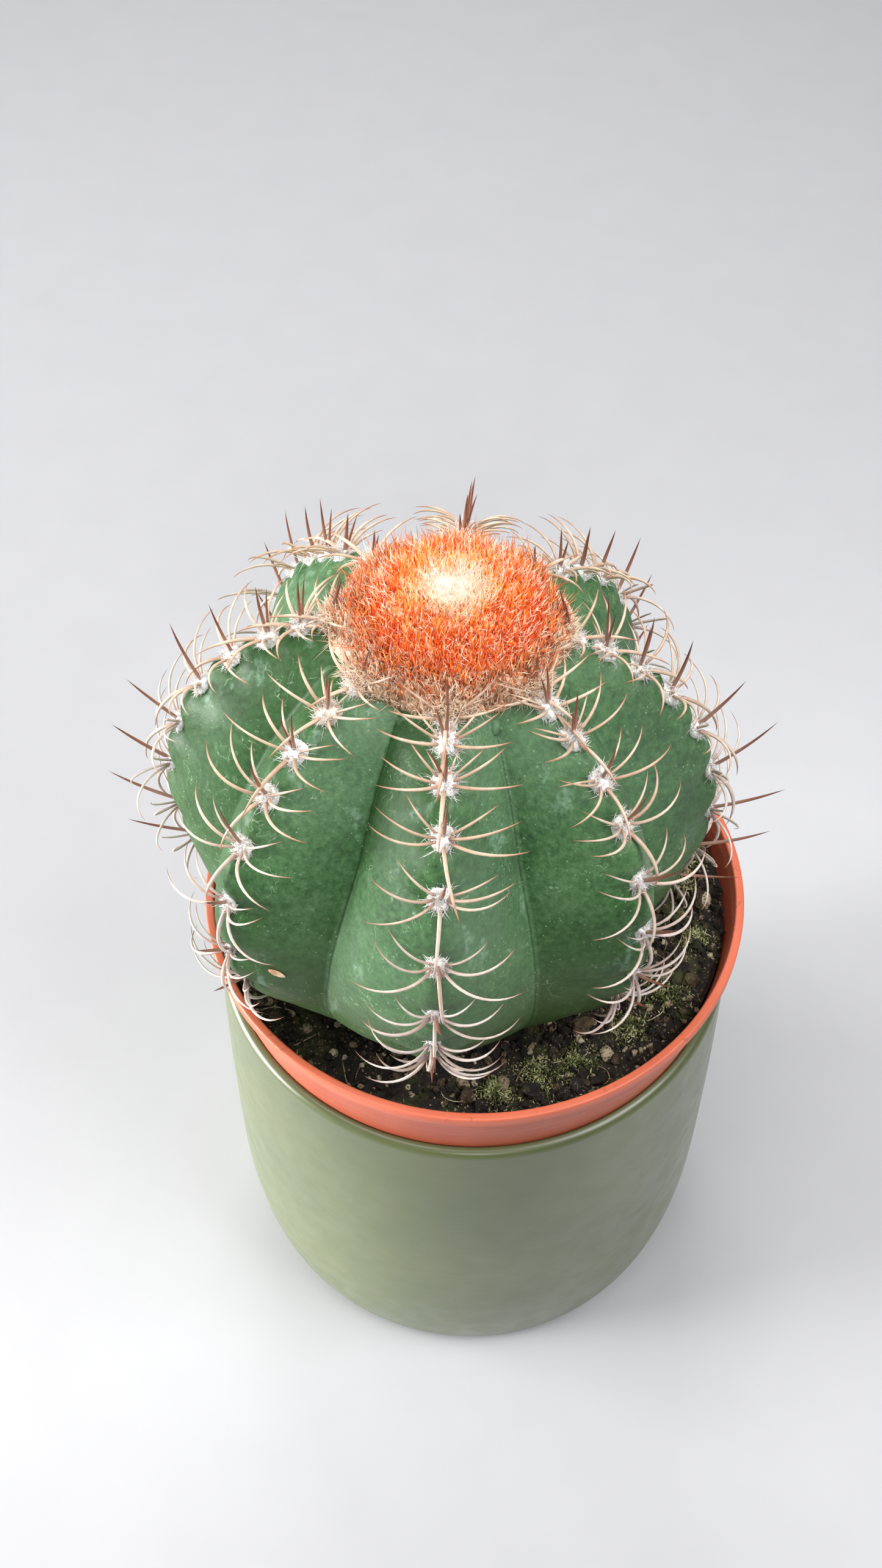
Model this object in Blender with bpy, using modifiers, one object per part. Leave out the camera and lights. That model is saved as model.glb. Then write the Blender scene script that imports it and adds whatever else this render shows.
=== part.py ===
"""A Turk's cap cactus in its nursery pot, standing in a glazed ceramic cover pot.

The frame's origin is the centre of the cover pot's underside, with +Z up and the front towards -Y.
Lengths are in metres. The plant's curves are written as multiples of RIM, the inner radius of the
nursery pot's lip, measured from the plane of that lip.
"""

import math

import bmesh
import bpy
from mathutils import Matrix, Vector

MM = 0.001
GAP = 0.3 * MM  # clearance between pieces that touch
ROUND_STEPS = 48

# Cover pot
COVER_HEIGHT = 119.5 * MM
COVER_MOUTH_R = 63.5 * MM
COVER_BELLY_R = 65.1 * MM
COVER_FOOT_R = 58.1 * MM
COVER_WALL = 3.6 * MM
COVER_MOUTH_INNER_R = 60.9 * MM
COVER_FLOOR = 5.5 * MM
BELLY_HEIGHT = 41 * MM
FOOT_FILLET = 1.6 * MM
LIP_OUTER_ROUND = 2.1 * MM
LIP_INNER_ROUND = 0.5 * MM

# Nursery pot
RIM = 62.9 * MM
RIM_OUTER_R = 65.0 * MM
RIM_PLANE = 139.6 * MM
BAND_HEIGHT = 24 * MM
BAND_FOOT_R = 59.5 * MM
BAND_WALL = 1.4 * MM
RIM_LIP_HEIGHT = 3.3 * MM
RIM_LIP_STEP = 1.1 * MM
WALL_TOP_R = 58.3 * MM
WALL_FOOT_R = 46.0 * MM
POT_WALL = 1.2 * MM
POT_FLOOR = 2.0 * MM
DRAIN_RING_R = 32 * MM
DRAIN_R = 4.5 * MM
DRAIN_COUNT = 6

# Soil
SOIL_LEVEL = -0.12  # all the numbers from here to the ribs are multiples of RIM
SOIL_BUMP = 0.011

# Plant: where its axis meets the soil, and how it leans
PLANT_X, PLANT_Y = -0.156, -0.074
LEAN_X, LEAN_Y = 0.034, 0.030
PLANT_TURN = math.radians(-2.6)
RIBS = 8
RIB_TURNS = [math.radians(a) for a in (1.6, 2.0, -0.9, 0.4, -3.6, -3.0, -0.8, 0.0)]
CREST_R, CREST_POWER, CREST_Z = 0.954, 0.81, 0.593
CREST_UP, CREST_DOWN = 0.863, 0.88
CREST_TUCK = 0.25
FURROW_DEPTH, FURROW_SKEW = 0.222, 1.3
FURROW_LOWEST, FURROW_HIGHEST = math.radians(-50), math.radians(78)
FURROW_TILT_UP, FURROW_TILT_DOWN = 0.62, 0.15
CREST_SHARPNESS = 0.13
STEM_LOWEST = math.radians(-68)
ROOT_COLLAR = [(0.26, -0.265), (0.14, -0.33), (0.10, -0.50), (0.05, -0.78)]

# Areoles: their height angles down each rib, from the front rib round to the right
AREOLE_ANGLES = (
    (57.3, 46.0, 33.2, 16.9, 1.4, -12.2),
    (59.4, 48.7, 37.7, 22.9, 7.6, -8.1),
    (53.4, 42.9, 30.1, 15.6, 1.2, -12.8),
    (53.5, 44.5, 31.1, 17.0, 3.0, -12),
    (56.0, 47.5, 35.0, 20.0, 5.0, -10),
    (52.0, 44.6, 33.6, 19.0, 3.5, -12),
    (56.9, 46.6, 34.4, 19.8, 5.5, -8.9),
    (52.4, 41.2, 27.8, 11.7, -4.6, -19),
)
ROW_SIZES = (0.72, 0.84, 0.95, 1.0, 1.0, 0.95)
ROW_CURLS = [math.radians(a) for a in (28, 38, 52, 66, 76, 80)]
PAD_R = 2.3 * MM
PAD_HEIGHT = 1.7 * MM
RADIALS = ((50, 10.0), (76, 13.5), (104, 15.0))  # degrees from straight up the rib, and mm
RADIAL_LIFT = math.radians(40)
DOWN_LENGTH = 10.5 * MM
CENTRAL_LENGTH = 16.5 * MM
CENTRAL_LIFT = math.radians(70)
SPINE_R = 0.6 * MM

# Cephalium
CAP_R, CAP_Z, CAP_TOP = 0.327, 1.45, 1.66
COLLAR_R = 0.435

# Litter on the soil: x and y in RIM, then half sizes across, along and up in mm
MOSS_CUSHIONS = ((0.80, 0.06, 4.2, 6.0, 3.4), (0.70, -0.44, 5.5, 4.5, 3.2), (0.22, -0.80, 6.0, 3.6, 2.8))
PUMICE_GRAINS = ((-0.05, -0.82, 2.2, 1.8, 1.8), (-0.52, -0.70, 2.0, 1.7, 1.6))

COLOURS = {
    "sage_glaze": ((0.42, 0.47, 0.34), 0.35),
    "terracotta_plastic": ((0.62, 0.17, 0.09), 0.45),
    "potting_soil": ((0.05, 0.04, 0.03), 0.95),
    "cactus_skin": ((0.10, 0.25, 0.12), 0.5),
    "cap_bristle": ((0.80, 0.15, 0.05), 0.8),
    "spine_horn": ((0.62, 0.48, 0.38), 0.5),
    "moss": ((0.18, 0.22, 0.06), 0.95),
    "pumice": ((0.45, 0.40, 0.30), 0.9),
}


def clear_scene():
    for obj in list(bpy.data.objects):
        bpy.data.objects.remove(obj, do_unlink=True)


def material(name):
    """The Principled material of this name, made once."""
    found = bpy.data.materials.get(name)
    if found:
        return found
    colour, roughness = COLOURS[name]
    made = bpy.data.materials.new(name)
    made.use_nodes = True
    shader = made.node_tree.nodes["Principled BSDF"]
    shader.inputs["Base Color"].default_value = (*colour, 1)
    shader.inputs["Roughness"].default_value = roughness
    shader.inputs["Metallic"].default_value = 0
    return made


def new_object(name, mesh, finish, collection, parent=None):
    obj = bpy.data.objects.new(name, mesh)
    collection.objects.link(obj)
    if not mesh.materials:
        mesh.materials.append(material(finish))
    obj.parent = parent
    return obj


def hide_helper(obj):
    obj.hide_render = True
    obj.display_type = "WIRE"


def turned(name, profile, steps, finish, collection, parent=None):
    """A solid of revolution about Z from (radius, height) points that run down the outer side."""
    mesh = bpy.data.meshes.new(name)
    edges = [(i, i + 1) for i in range(len(profile) - 1)]
    mesh.from_pydata([(r, 0, z) for r, z in profile], edges, [])
    obj = new_object(name, mesh, finish, collection, parent)
    screw = obj.modifiers.new("Turn", "SCREW")
    screw.steps = steps
    screw.render_steps = steps
    screw.use_merge_vertices = True
    screw.merge_threshold = 0.00005
    screw.use_smooth_shade = True
    return obj


def as_mesh(obj):
    """Replaces an object's mesh by its evaluated one, so that its points can be moved."""
    graph = bpy.context.evaluated_depsgraph_get()
    mesh = bpy.data.meshes.new_from_object(obj.evaluated_get(graph))
    obj.modifiers.clear()
    obj.data = mesh
    return obj


def arc(centre_r, centre_z, radius, start, end, count):
    """Points on a quarter round, angles in degrees from the outward direction."""
    angles = [math.radians(start + (end - start) * i / (count - 1)) for i in range(count)]
    return [(centre_r + radius * math.cos(a), centre_z + radius * math.sin(a)) for a in angles]


def cover_pot(collection):
    """A straight pot, slightly wider at its belly, whose foot curves in to a flat underside."""
    inner_foot = COVER_FOOT_R - COVER_WALL
    profile = [(0, COVER_FLOOR), (inner_foot - 4 * MM, COVER_FLOOR)]
    profile += [(inner_foot, COVER_FLOOR + 4 * MM)]
    profile += [(COVER_BELLY_R - COVER_WALL, BELLY_HEIGHT)]
    profile += [(COVER_MOUTH_INNER_R, COVER_HEIGHT - 12 * MM)]
    inner, outer = LIP_INNER_ROUND, LIP_OUTER_ROUND
    profile += reversed(arc(COVER_MOUTH_INNER_R + inner, COVER_HEIGHT - inner, inner, 90, 180, 3))
    profile += reversed(arc(COVER_MOUTH_R - outer, COVER_HEIGHT - outer, outer, 0, 80, 5))
    profile += [((COVER_MOUTH_R + COVER_BELLY_R) / 2 + 0.2 * MM, (COVER_HEIGHT + BELLY_HEIGHT) / 2)]
    curl = COVER_BELLY_R - COVER_FOOT_R
    for step in range(6):
        a = math.radians(15 * step)
        profile.append((COVER_BELLY_R - curl * (1 - math.cos(a)), BELLY_HEIGHT * (1 - math.sin(a))))
    profile += [(COVER_FOOT_R - 0.4 * MM, FOOT_FILLET / 2), (COVER_FOOT_R - FOOT_FILLET, 0), (0, 0)]
    turned("cover_pot", profile, ROUND_STEPS, "sage_glaze", collection)


def nursery_wall(depth):
    """Outer radius of the nursery pot's wall this far below the rim plane."""
    height = RIM_PLANE - COVER_FLOOR - GAP
    share = (depth - BAND_HEIGHT) / (height - BAND_HEIGHT)
    return WALL_TOP_R + (WALL_FOOT_R - WALL_TOP_R) * share


def band_inner(depth):
    """Inner radius of the nursery pot's rim band this far below the rim plane."""
    return RIM + (BAND_FOOT_R - BAND_WALL - RIM) * depth / (BAND_HEIGHT - 1 * MM)


def nursery_pot(collection, helpers):
    """A thin tapered plastic pot with a deep rim band and a ring of drain holes."""
    foot = COVER_FLOOR + GAP
    depth = RIM_PLANE - foot
    profile = [(0, foot + POT_FLOOR), (WALL_FOOT_R - POT_WALL, foot + POT_FLOOR)]
    profile += [(nursery_wall(BAND_HEIGHT) - POT_WALL, RIM_PLANE - BAND_HEIGHT - 2 * MM)]
    profile += [(band_inner(BAND_HEIGHT - 1 * MM), RIM_PLANE - BAND_HEIGHT + 1 * MM)]
    profile += [(RIM, RIM_PLANE - 0.4 * MM), (RIM + 0.4 * MM, RIM_PLANE)]
    profile += [(RIM_OUTER_R - 0.5 * MM, RIM_PLANE), (RIM_OUTER_R, RIM_PLANE - 0.5 * MM)]
    profile += [(RIM_OUTER_R, RIM_PLANE - RIM_LIP_HEIGHT + 0.4 * MM)]
    profile += [(RIM_OUTER_R - RIM_LIP_STEP, RIM_PLANE - RIM_LIP_HEIGHT)]
    profile += [(BAND_FOOT_R, RIM_PLANE - BAND_HEIGHT)]
    profile += [(WALL_TOP_R, RIM_PLANE - BAND_HEIGHT - 0.8 * MM)]
    profile += [(nursery_wall(depth - 2 * MM), foot + 2 * MM), (WALL_FOOT_R - 2 * MM, foot), (0, foot)]
    pot = turned("nursery_pot", profile, ROUND_STEPS, "terracotta_plastic", collection)
    for i in range(DRAIN_COUNT):
        turn = Matrix.Rotation(math.tau * i / DRAIN_COUNT, 4, "Z")
        mesh = bpy.data.meshes.new("drain_cutter")
        cut = bmesh.new()
        bmesh.ops.create_cone(
            cut, cap_ends=True, segments=12, radius1=DRAIN_R, radius2=DRAIN_R, depth=8 * MM
        )
        cut.to_mesh(mesh)
        cut.free()
        cutter = new_object(f"drain_cutter_{i + 1}", mesh, "terracotta_plastic", helpers["drains"])
        cutter.matrix_world = turn @ Matrix.Translation((DRAIN_RING_R, 0, foot + POT_FLOOR / 2))
        hide_helper(cutter)
    drains = pot.modifiers.new("Drain holes", "BOOLEAN")
    drains.operand_type = "COLLECTION"
    drains.collection = helpers["drains"]


def crest(t):
    """(radius, height) of a rib's crest at height angle t, drawn in below its middle, in RIM."""
    reach = CREST_UP if t > 0 else CREST_DOWN
    tuck = CREST_TUCK * (1 - math.cos(t)) if t < 0 else 0
    return CREST_R * math.cos(t) ** CREST_POWER - tuck, CREST_Z + reach * math.sin(t)


def furrow(t):
    """(radius, height) of the furrow between two ribs: the crest moved inward, most above its middle."""
    share = min(max((t - FURROW_LOWEST) / (FURROW_HIGHEST - FURROW_LOWEST), 0), 1)
    depth = FURROW_DEPTH * math.sin(math.pi * share**FURROW_SKEW)
    tilt = t * (FURROW_TILT_UP if t > 0 else FURROW_TILT_DOWN)
    radius, height = crest(t)
    return radius - depth * math.cos(tilt), height - depth * math.sin(tilt)


def flank_rise(x):
    """Rise of the skin at x, 0 on a crest to 1 in a furrow: a hyperbola with a narrow round crest."""
    w = CREST_SHARPNESS
    return 1 - (math.hypot(x, w) - w) / (math.hypot(1, w) - w)


def plant_frame(collection):
    """The empty that carries the plant: its origin on the axis at the soil, leaning and turned."""
    frame = bpy.data.objects.new("plant_axis", None)
    collection.objects.link(frame)
    up = Vector((LEAN_X, LEAN_Y, 1)).normalized()
    lean = Vector((0, 0, 1)).rotation_difference(up).to_matrix().to_4x4()
    place = Vector((PLANT_X * RIM, PLANT_Y * RIM, RIM_PLANE + SOIL_LEVEL * RIM))
    frame.matrix_world = Matrix.Translation(place) @ lean @ Matrix.Rotation(PLANT_TURN, 4, "Z")
    return frame


def in_plant(radius, height):
    """A point on the plant's outline, from multiples of RIM to the plant frame's metres."""
    return radius * RIM, (height - SOIL_LEVEL) * RIM


def rib_angle(rib):
    """Direction about the axis of a place counted in ribs from the front one, fractions included."""
    first = math.floor(rib)
    share = rib - first
    turn = RIB_TURNS[first % RIBS] * (1 - share) + RIB_TURNS[(first + 1) % RIBS] * share
    return math.tau * rib / RIBS - math.pi / 2 + turn


def stem(collection, frame):
    """The ribbed body: sections between crest and furrow curves, closed below by the taproot."""
    per_rib, rows = 8, 22
    around = RIBS * per_rib
    bm = bmesh.new()
    rings = []
    for row in range(rows):
        t = STEM_LOWEST + (math.radians(88) - STEM_LOWEST) * row / (rows - 1)
        (crest_r, crest_z), (furrow_r, furrow_z) = crest(t), furrow(t)
        ring = []
        for i in range(around):
            rise = flank_rise(1 - abs((i % per_rib) / per_rib * 2 - 1))
            radius, height = in_plant(
                furrow_r + (crest_r - furrow_r) * rise, furrow_z + (crest_z - furrow_z) * rise
            )
            a = rib_angle(i / per_rib)
            ring.append(bm.verts.new((radius * math.cos(a), radius * math.sin(a), height)))
        rings.append(ring)
    for collar_r, collar_z in ROOT_COLLAR:
        radius, height = in_plant(collar_r, collar_z)
        ring = []
        for i in range(around):
            a = rib_angle(i / per_rib)
            ring.append(bm.verts.new((radius * math.cos(a), radius * math.sin(a), height)))
        rings.insert(0, ring)
    for low, high in zip(rings, rings[1:]):
        for i in range(around):
            j = (i + 1) % around
            bm.faces.new((low[i], low[j], high[j], high[i]))
    bm.faces.new(reversed(rings[0]))
    bm.faces.new(rings[-1])
    mesh = bpy.data.meshes.new("stem")
    bm.to_mesh(mesh)
    bm.free()
    mesh.shade_smooth()
    new_object("stem", mesh, "cactus_skin", collection, frame)


def soil(collection, helpers, frame):
    """The root ball: it fills the nursery pot, with an uneven top and a pocket for the stem."""
    foot = COVER_FLOOR + GAP + POT_FLOOR + GAP
    level = RIM_PLANE + SOIL_LEVEL * RIM
    edge = band_inner(RIM_PLANE - level) - 2 * GAP
    profile = [(edge * share, level) for share in (0, 0.3, 0.55, 0.68, 0.8, 0.9)]
    profile += [(edge, level - 0.5 * MM)]
    profile += [(band_inner(BAND_HEIGHT - 1 * MM) - 2 * GAP, RIM_PLANE - BAND_HEIGHT + 1 * MM)]
    profile += [(nursery_wall(BAND_HEIGHT) - POT_WALL - 2 * GAP, RIM_PLANE - BAND_HEIGHT - 3 * MM)]
    profile += [(WALL_FOOT_R - 2 * MM, foot), (0, foot)]
    body = as_mesh(turned("soil", profile, ROUND_STEPS, "potting_soil", collection))
    for vertex in body.data.vertices:
        x, y = vertex.co.x / RIM, vertex.co.y / RIM
        if vertex.co.z > level - 0.1 * MM and math.hypot(x, y) < 0.9:
            swell = math.sin(9 * x + 1.3) * math.cos(8 * y - 0.6) + 0.5 * math.sin(17 * x - 13 * y)
            vertex.co.z += SOIL_BUMP * RIM * swell / 1.5
    outline = [in_plant(r, z) for r, z in reversed(ROOT_COLLAR)]
    outline += [in_plant(*crest(STEM_LOWEST + math.radians(4 * i))) for i in range(9)]
    outline = [(0, outline[0][1] - 2 * GAP)] + [(r + 1.6 * GAP, z - GAP) for r, z in outline]
    outline += [(outline[-1][0], outline[-1][1] + 1 * MM), (0, outline[-1][1] + 1 * MM)]
    pocket = turned("stem_pocket", outline[::-1], 48, "potting_soil", helpers["pocket"], frame)
    hide_helper(pocket)
    cut = body.modifiers.new("Pocket", "BOOLEAN")
    cut.operation = "DIFFERENCE"
    cut.object = pocket


def cephalium(collection, frame):
    """The cap of wool and bristles: a low dome on a flared collar, hollow where the stem ends."""
    profile = [(0, CAP_TOP)]
    for step in range(1, 7):
        a = math.radians(90 - 15 * step)
        profile.append((CAP_R * math.cos(a), CAP_Z + (CAP_TOP - CAP_Z) * math.sin(a)))
    profile += [(CAP_R + 0.02, CAP_Z - 0.02), (CAP_R + 0.075, CAP_Z - 0.035), (COLLAR_R, 1.412)]
    clear = 0.55 * MM / RIM
    for radius in (COLLAR_R, 0.37, 0.28, 0.2, 0.1):
        t = math.acos((radius / CREST_R) ** (1 / CREST_POWER))
        profile.append((radius, crest(t)[1] + clear))
    profile.append((0, CREST_Z + CREST_UP + clear))
    turned("cephalium", [in_plant(r, z) for r, z in profile], 32, "cap_bristle", collection, frame)


def spine_mesh(length, lift, bend, spread, radius):
    """A three-sided curved spine. It leaves the pad at angle lift, turned by spread about the pad's
    axis, and bends back by the angle bend along its length."""
    bm = bmesh.new()
    bmesh.ops.create_cone(bm, cap_ends=True, segments=3, radius1=radius, radius2=0, depth=length)
    bmesh.ops.translate(bm, verts=bm.verts, vec=(0, 0, length / 2))
    whole = bm.verts[:] + bm.edges[:] + bm.faces[:]
    bmesh.ops.bisect_plane(bm, geom=whole, plane_co=(0, 0, length * 0.5), plane_no=(0, 0, 1))
    for vertex in bm.verts:
        along = vertex.co.z / length
        angle = lift - bend * along
        middle = lift - bend * along / 2
        swell = (1.35 if 0.1 < along < 0.9 else 1.0) * vertex.co.x
        out = length * along * math.cos(middle) - swell * math.sin(angle)
        up = length * along * math.sin(middle) + swell * math.cos(angle)
        vertex.co = (out, vertex.co.y, up)
    bmesh.ops.rotate(bm, verts=bm.verts, matrix=Matrix.Rotation(spread, 3, "Z"))
    mesh = bpy.data.meshes.new("spine")
    bm.to_mesh(mesh)
    bm.free()
    return mesh


def areole_mesh(row, helpers):
    """One areole as one solid: a wool pad with its spines grown together, in the pad's own frame.
    There +Z points out of the rib, +Y up along it and +X across it."""
    size, curl = ROW_SIZES[row], ROW_CURLS[row]
    pad = bmesh.new()
    bmesh.ops.create_cone(
        pad, cap_ends=True, segments=8, radius1=PAD_R, radius2=PAD_R * 0.55, depth=PAD_HEIGHT
    )
    bmesh.ops.translate(pad, verts=pad.verts, vec=(0, 0, PAD_HEIGHT / 2))
    mesh = bpy.data.meshes.new(f"areole_row_{row + 1}")
    pad.to_mesh(mesh)
    pad.free()
    body = new_object(f"areole_pad_{row + 1}", mesh, "spine_horn", helpers["areoles"])
    hide_helper(body)
    spines = bpy.data.collections.new(f"row_{row + 1}_spines")
    helpers["areoles"].children.link(spines)
    places = [(math.pi, DOWN_LENGTH)]
    places += [(math.radians(side * turn), length * MM) for turn, length in RADIALS for side in (-1, 1)]
    for turn, length in places:
        spine = spine_mesh(length * size, RADIAL_LIFT, curl, turn + math.pi / 2, SPINE_R)
        obj = new_object("spine_helper", spine, "spine_horn", spines)
        obj.location = (0, 0, PAD_HEIGHT * 0.42)
        hide_helper(obj)
    central = spine_mesh(
        CENTRAL_LENGTH * size, CENTRAL_LIFT, math.radians(8), math.pi / 2, SPINE_R * 1.2
    )
    obj = new_object("spine_helper", central, "spine_horn", spines)
    obj.location = (0, 0, PAD_HEIGHT * 0.3)
    hide_helper(obj)
    union = body.modifiers.new("Grown together", "BOOLEAN")
    union.operation = "UNION"
    union.operand_type = "COLLECTION"
    union.collection = spines
    graph = bpy.context.evaluated_depsgraph_get()
    grown = bpy.data.meshes.new_from_object(body.evaluated_get(graph))
    grown.name = f"areole_row_{row + 1}"
    return grown


def areole_place(t, rib):
    """Matrix in the plant frame that seats an areole on a crest at height angle t."""
    step = math.radians(0.5)
    r0, z0 = in_plant(*crest(t - step))
    r1, z1 = in_plant(*crest(t + step))
    radius, height = in_plant(*crest(t))
    up = Vector((r1 - r0, 0, z1 - z0)).normalized()
    out = Vector((up.z, 0, -up.x))
    side = up.cross(out)
    seat = Vector((radius, 0, height)) + out * GAP * 1.3
    local = Matrix((side, up, out)).transposed().to_4x4()
    around = Matrix.Rotation(rib_angle(rib), 4, "Z")
    return around @ Matrix.Translation(seat) @ local


def areoles(collection, helpers, frame):
    for row in range(len(ROW_SIZES)):
        mesh = areole_mesh(row, helpers)
        for rib in range(RIBS):
            obj = new_object(f"areole_rib{rib + 1}_{row + 1}", mesh, "spine_horn", collection, frame)
            obj.matrix_local = areole_place(math.radians(AREOLE_ANGLES[rib][row]), rib)


def soil_top(x, y, reach):
    """Highest point of the soil's surface within reach of a place on it."""
    points = bpy.data.objects["soil"].data.vertices
    near = [v.co.z for v in points if math.hypot(v.co.x - x, v.co.y - y) < reach]
    return max(near)


def litter(name, finish, at, size, collection):
    """A moss cushion or a grain of pumice lying on the soil: a squashed ball with a flat seat."""
    mesh = bpy.data.meshes.new(name)
    bm = bmesh.new()
    bmesh.ops.create_icosphere(bm, subdivisions=2, radius=1)
    for vertex in bm.verts:
        x, y, z = vertex.co
        wave = 1 + 0.10 * math.sin(5 * x + 3 * y) + 0.07 * math.cos(7 * y - 2 * x)
        vertex.co = (x * wave * size[0], y * wave * size[1], max(z, -0.2 + 0.02 * z) * size[2])
    bm.to_mesh(mesh)
    bm.free()
    mesh.shade_smooth()
    obj = new_object(name, mesh, finish, collection)
    x, y = at[0] * RIM, at[1] * RIM
    lowest = min(vertex.co.z for vertex in mesh.vertices)
    obj.location = (x, y, soil_top(x, y, max(size[:2]) + 5 * MM) - lowest + GAP)


def main():
    clear_scene()
    scene = bpy.context.scene.collection
    parts = bpy.data.collections.new("potted_turks_cap_cactus")
    scene.children.link(parts)
    helpers = {}
    for name in ("drains", "pocket", "areoles"):
        helpers[name] = bpy.data.collections.new(f"{name}_helpers")
        scene.children.link(helpers[name])
    frame = plant_frame(parts)
    cover_pot(parts)
    nursery_pot(parts, helpers)
    soil(parts, helpers, frame)
    stem(parts, frame)
    cephalium(parts, frame)
    areoles(parts, helpers, frame)
    for i, (x, y, across, along, height) in enumerate(MOSS_CUSHIONS):
        litter(f"moss_{i + 1}", "moss", (x, y), (across * MM, along * MM, height * MM), parts)
    for i, (x, y, across, along, height) in enumerate(PUMICE_GRAINS):
        litter(f"pumice_{i + 1}", "pumice", (x, y), (across * MM, along * MM, height * MM), parts)
    bpy.context.view_layer.update()


main()
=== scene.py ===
"""Looks of a Turk's cap cactus in its pots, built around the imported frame.

Everything is in metres, +Z up, with the origin under the middle of the cover pot. Shapes are
functions of two parameters on grids, or profiles carried along paths, worked out as whole arrays.
"""
import logging
import math
from dataclasses import dataclass, field
from enum import Enum
from functools import cache
from typing import Any, Sequence

import bpy
import numpy as np
from mathutils import Matrix, Vector


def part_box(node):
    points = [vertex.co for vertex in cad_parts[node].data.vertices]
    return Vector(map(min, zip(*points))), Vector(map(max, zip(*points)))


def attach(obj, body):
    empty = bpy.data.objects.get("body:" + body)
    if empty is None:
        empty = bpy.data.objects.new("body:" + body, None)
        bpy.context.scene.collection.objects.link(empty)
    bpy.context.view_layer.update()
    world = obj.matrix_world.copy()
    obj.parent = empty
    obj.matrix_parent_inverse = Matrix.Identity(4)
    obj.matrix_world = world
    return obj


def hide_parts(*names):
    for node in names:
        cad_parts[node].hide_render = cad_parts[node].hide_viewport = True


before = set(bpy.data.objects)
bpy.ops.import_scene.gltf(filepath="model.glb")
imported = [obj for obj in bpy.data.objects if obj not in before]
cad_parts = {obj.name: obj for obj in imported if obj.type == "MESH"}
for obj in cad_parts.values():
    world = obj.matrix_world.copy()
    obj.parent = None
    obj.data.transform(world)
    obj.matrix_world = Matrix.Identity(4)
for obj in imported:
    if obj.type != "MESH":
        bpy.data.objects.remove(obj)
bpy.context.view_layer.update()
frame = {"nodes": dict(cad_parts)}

LOG = logging.getLogger("cactus")
Array = np.ndarray
Values = dict[str, Array]
Colour = tuple[float, float, float, float]
Stops = tuple[tuple[float, Colour], ...]
Pair = tuple[float, float]
Triple = tuple[float, float, float]

MM = 0.001
TAU = math.tau
ROOT = "root"
PLAIN: Colour = (1.0, 1.0, 1.0, 1.0)
UPWARD = np.array([0, 0, 1.0])
LEVEL = np.array([1, 1, 0])
GOLDEN_ANGLE = math.pi * (3 - math.sqrt(5))
LATTICE_KEYS = np.array([73856093, 19349663, 83492791])
OCTAVE_FALL = 0.55


def spans(node: str) -> Triple:
    """Measure a round upright node of the frame.

    Args:
        node: The node's name.

    Returns:
        Its outer radius, its lower end and its upper end.
    """
    low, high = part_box(node)
    return high.x, low.z, high.z


COVER_BELLY, _, COVER_TOP = spans("cover_pot")
RIM_OUTER, NURSERY_FOOT, RIM_PLANE = spans("nursery_pot")
RIM = RIM_OUTER - 2.1 * MM


def srgb(red: float, green: float, blue: float) -> Colour:
    """Turn a display colour into the linear one that shaders use.

    Args:
        red: Red share from 0 to 1.
        green: Green share from 0 to 1.
        blue: Blue share from 0 to 1.

    Returns:
        The linear colour with an alpha of 1.
    """
    def linear(v: float) -> float:
        """One channel by the standard curve."""
        return v / 12.92 if v <= 0.04045 else ((v + 0.055) / 1.055) ** 2.4

    return linear(red), linear(green), linear(blue), 1.0


def unit(vectors: Array) -> Array:
    """Vectors scaled to length 1 along their last axis."""
    return vectors / np.maximum(np.linalg.norm(vectors, axis=-1, keepdims=True), 1e-12)


def lattice_noise(points: Array, cell: float, seed: int) -> Array:
    """Smooth value noise: random numbers on a cubic lattice, blended by 3u^2 - 2u^3.

    Args:
        points: Places, (n, 3).
        cell: Edge of a lattice cell in metres.
        seed: Which noise.

    Returns:
        One number from -1 to 1 for each place.
    """
    scaled = points / cell
    base = np.floor(scaled).astype(np.int64)
    share = scaled - base
    share = share * share * (3 - 2 * share)
    total = np.zeros(len(points))
    for corner in np.ndindex(2, 2, 2):
        step = np.array(corner)
        key = (base + step) @ LATTICE_KEYS + seed * 97531
        key = (key ^ (key >> 13)) * 1274126177 & 0x7FFFFFFF
        value = ((key ^ (key >> 15)) & 0xFFFF) / 32767.5 - 1
        total += value * np.prod(np.where(step, share, 1 - share), axis=1)
    return total


def rough_noise(points: Array, cell: float, octaves: int, seed: int) -> Array:
    """Value noise summed over octaves, each half the size and 0.55 of the strength.

    Args:
        points: Places, (n, 3).
        cell: Largest lattice cell in metres.
        octaves: How many layers.
        seed: Which noise.

    Returns:
        One number for each place, about -1 to 1.
    """
    shares = [OCTAVE_FALL**k for k in range(octaves)]
    layers = [lattice_noise(points, cell / 2**k, seed + 31 * k) * share for k, share in enumerate(shares)]
    return np.sum(layers, axis=0) / sum(shares)


def placed(name: str, data: Any) -> bpy.types.Object:
    """Make an object and link it to the scene.

    Args:
        name: The object's name.
        data: Its mesh, lamp or camera.

    Returns:
        The object, at the origin.
    """
    thing = bpy.data.objects.new(name, data)
    bpy.context.scene.collection.objects.link(thing)
    return thing


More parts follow.
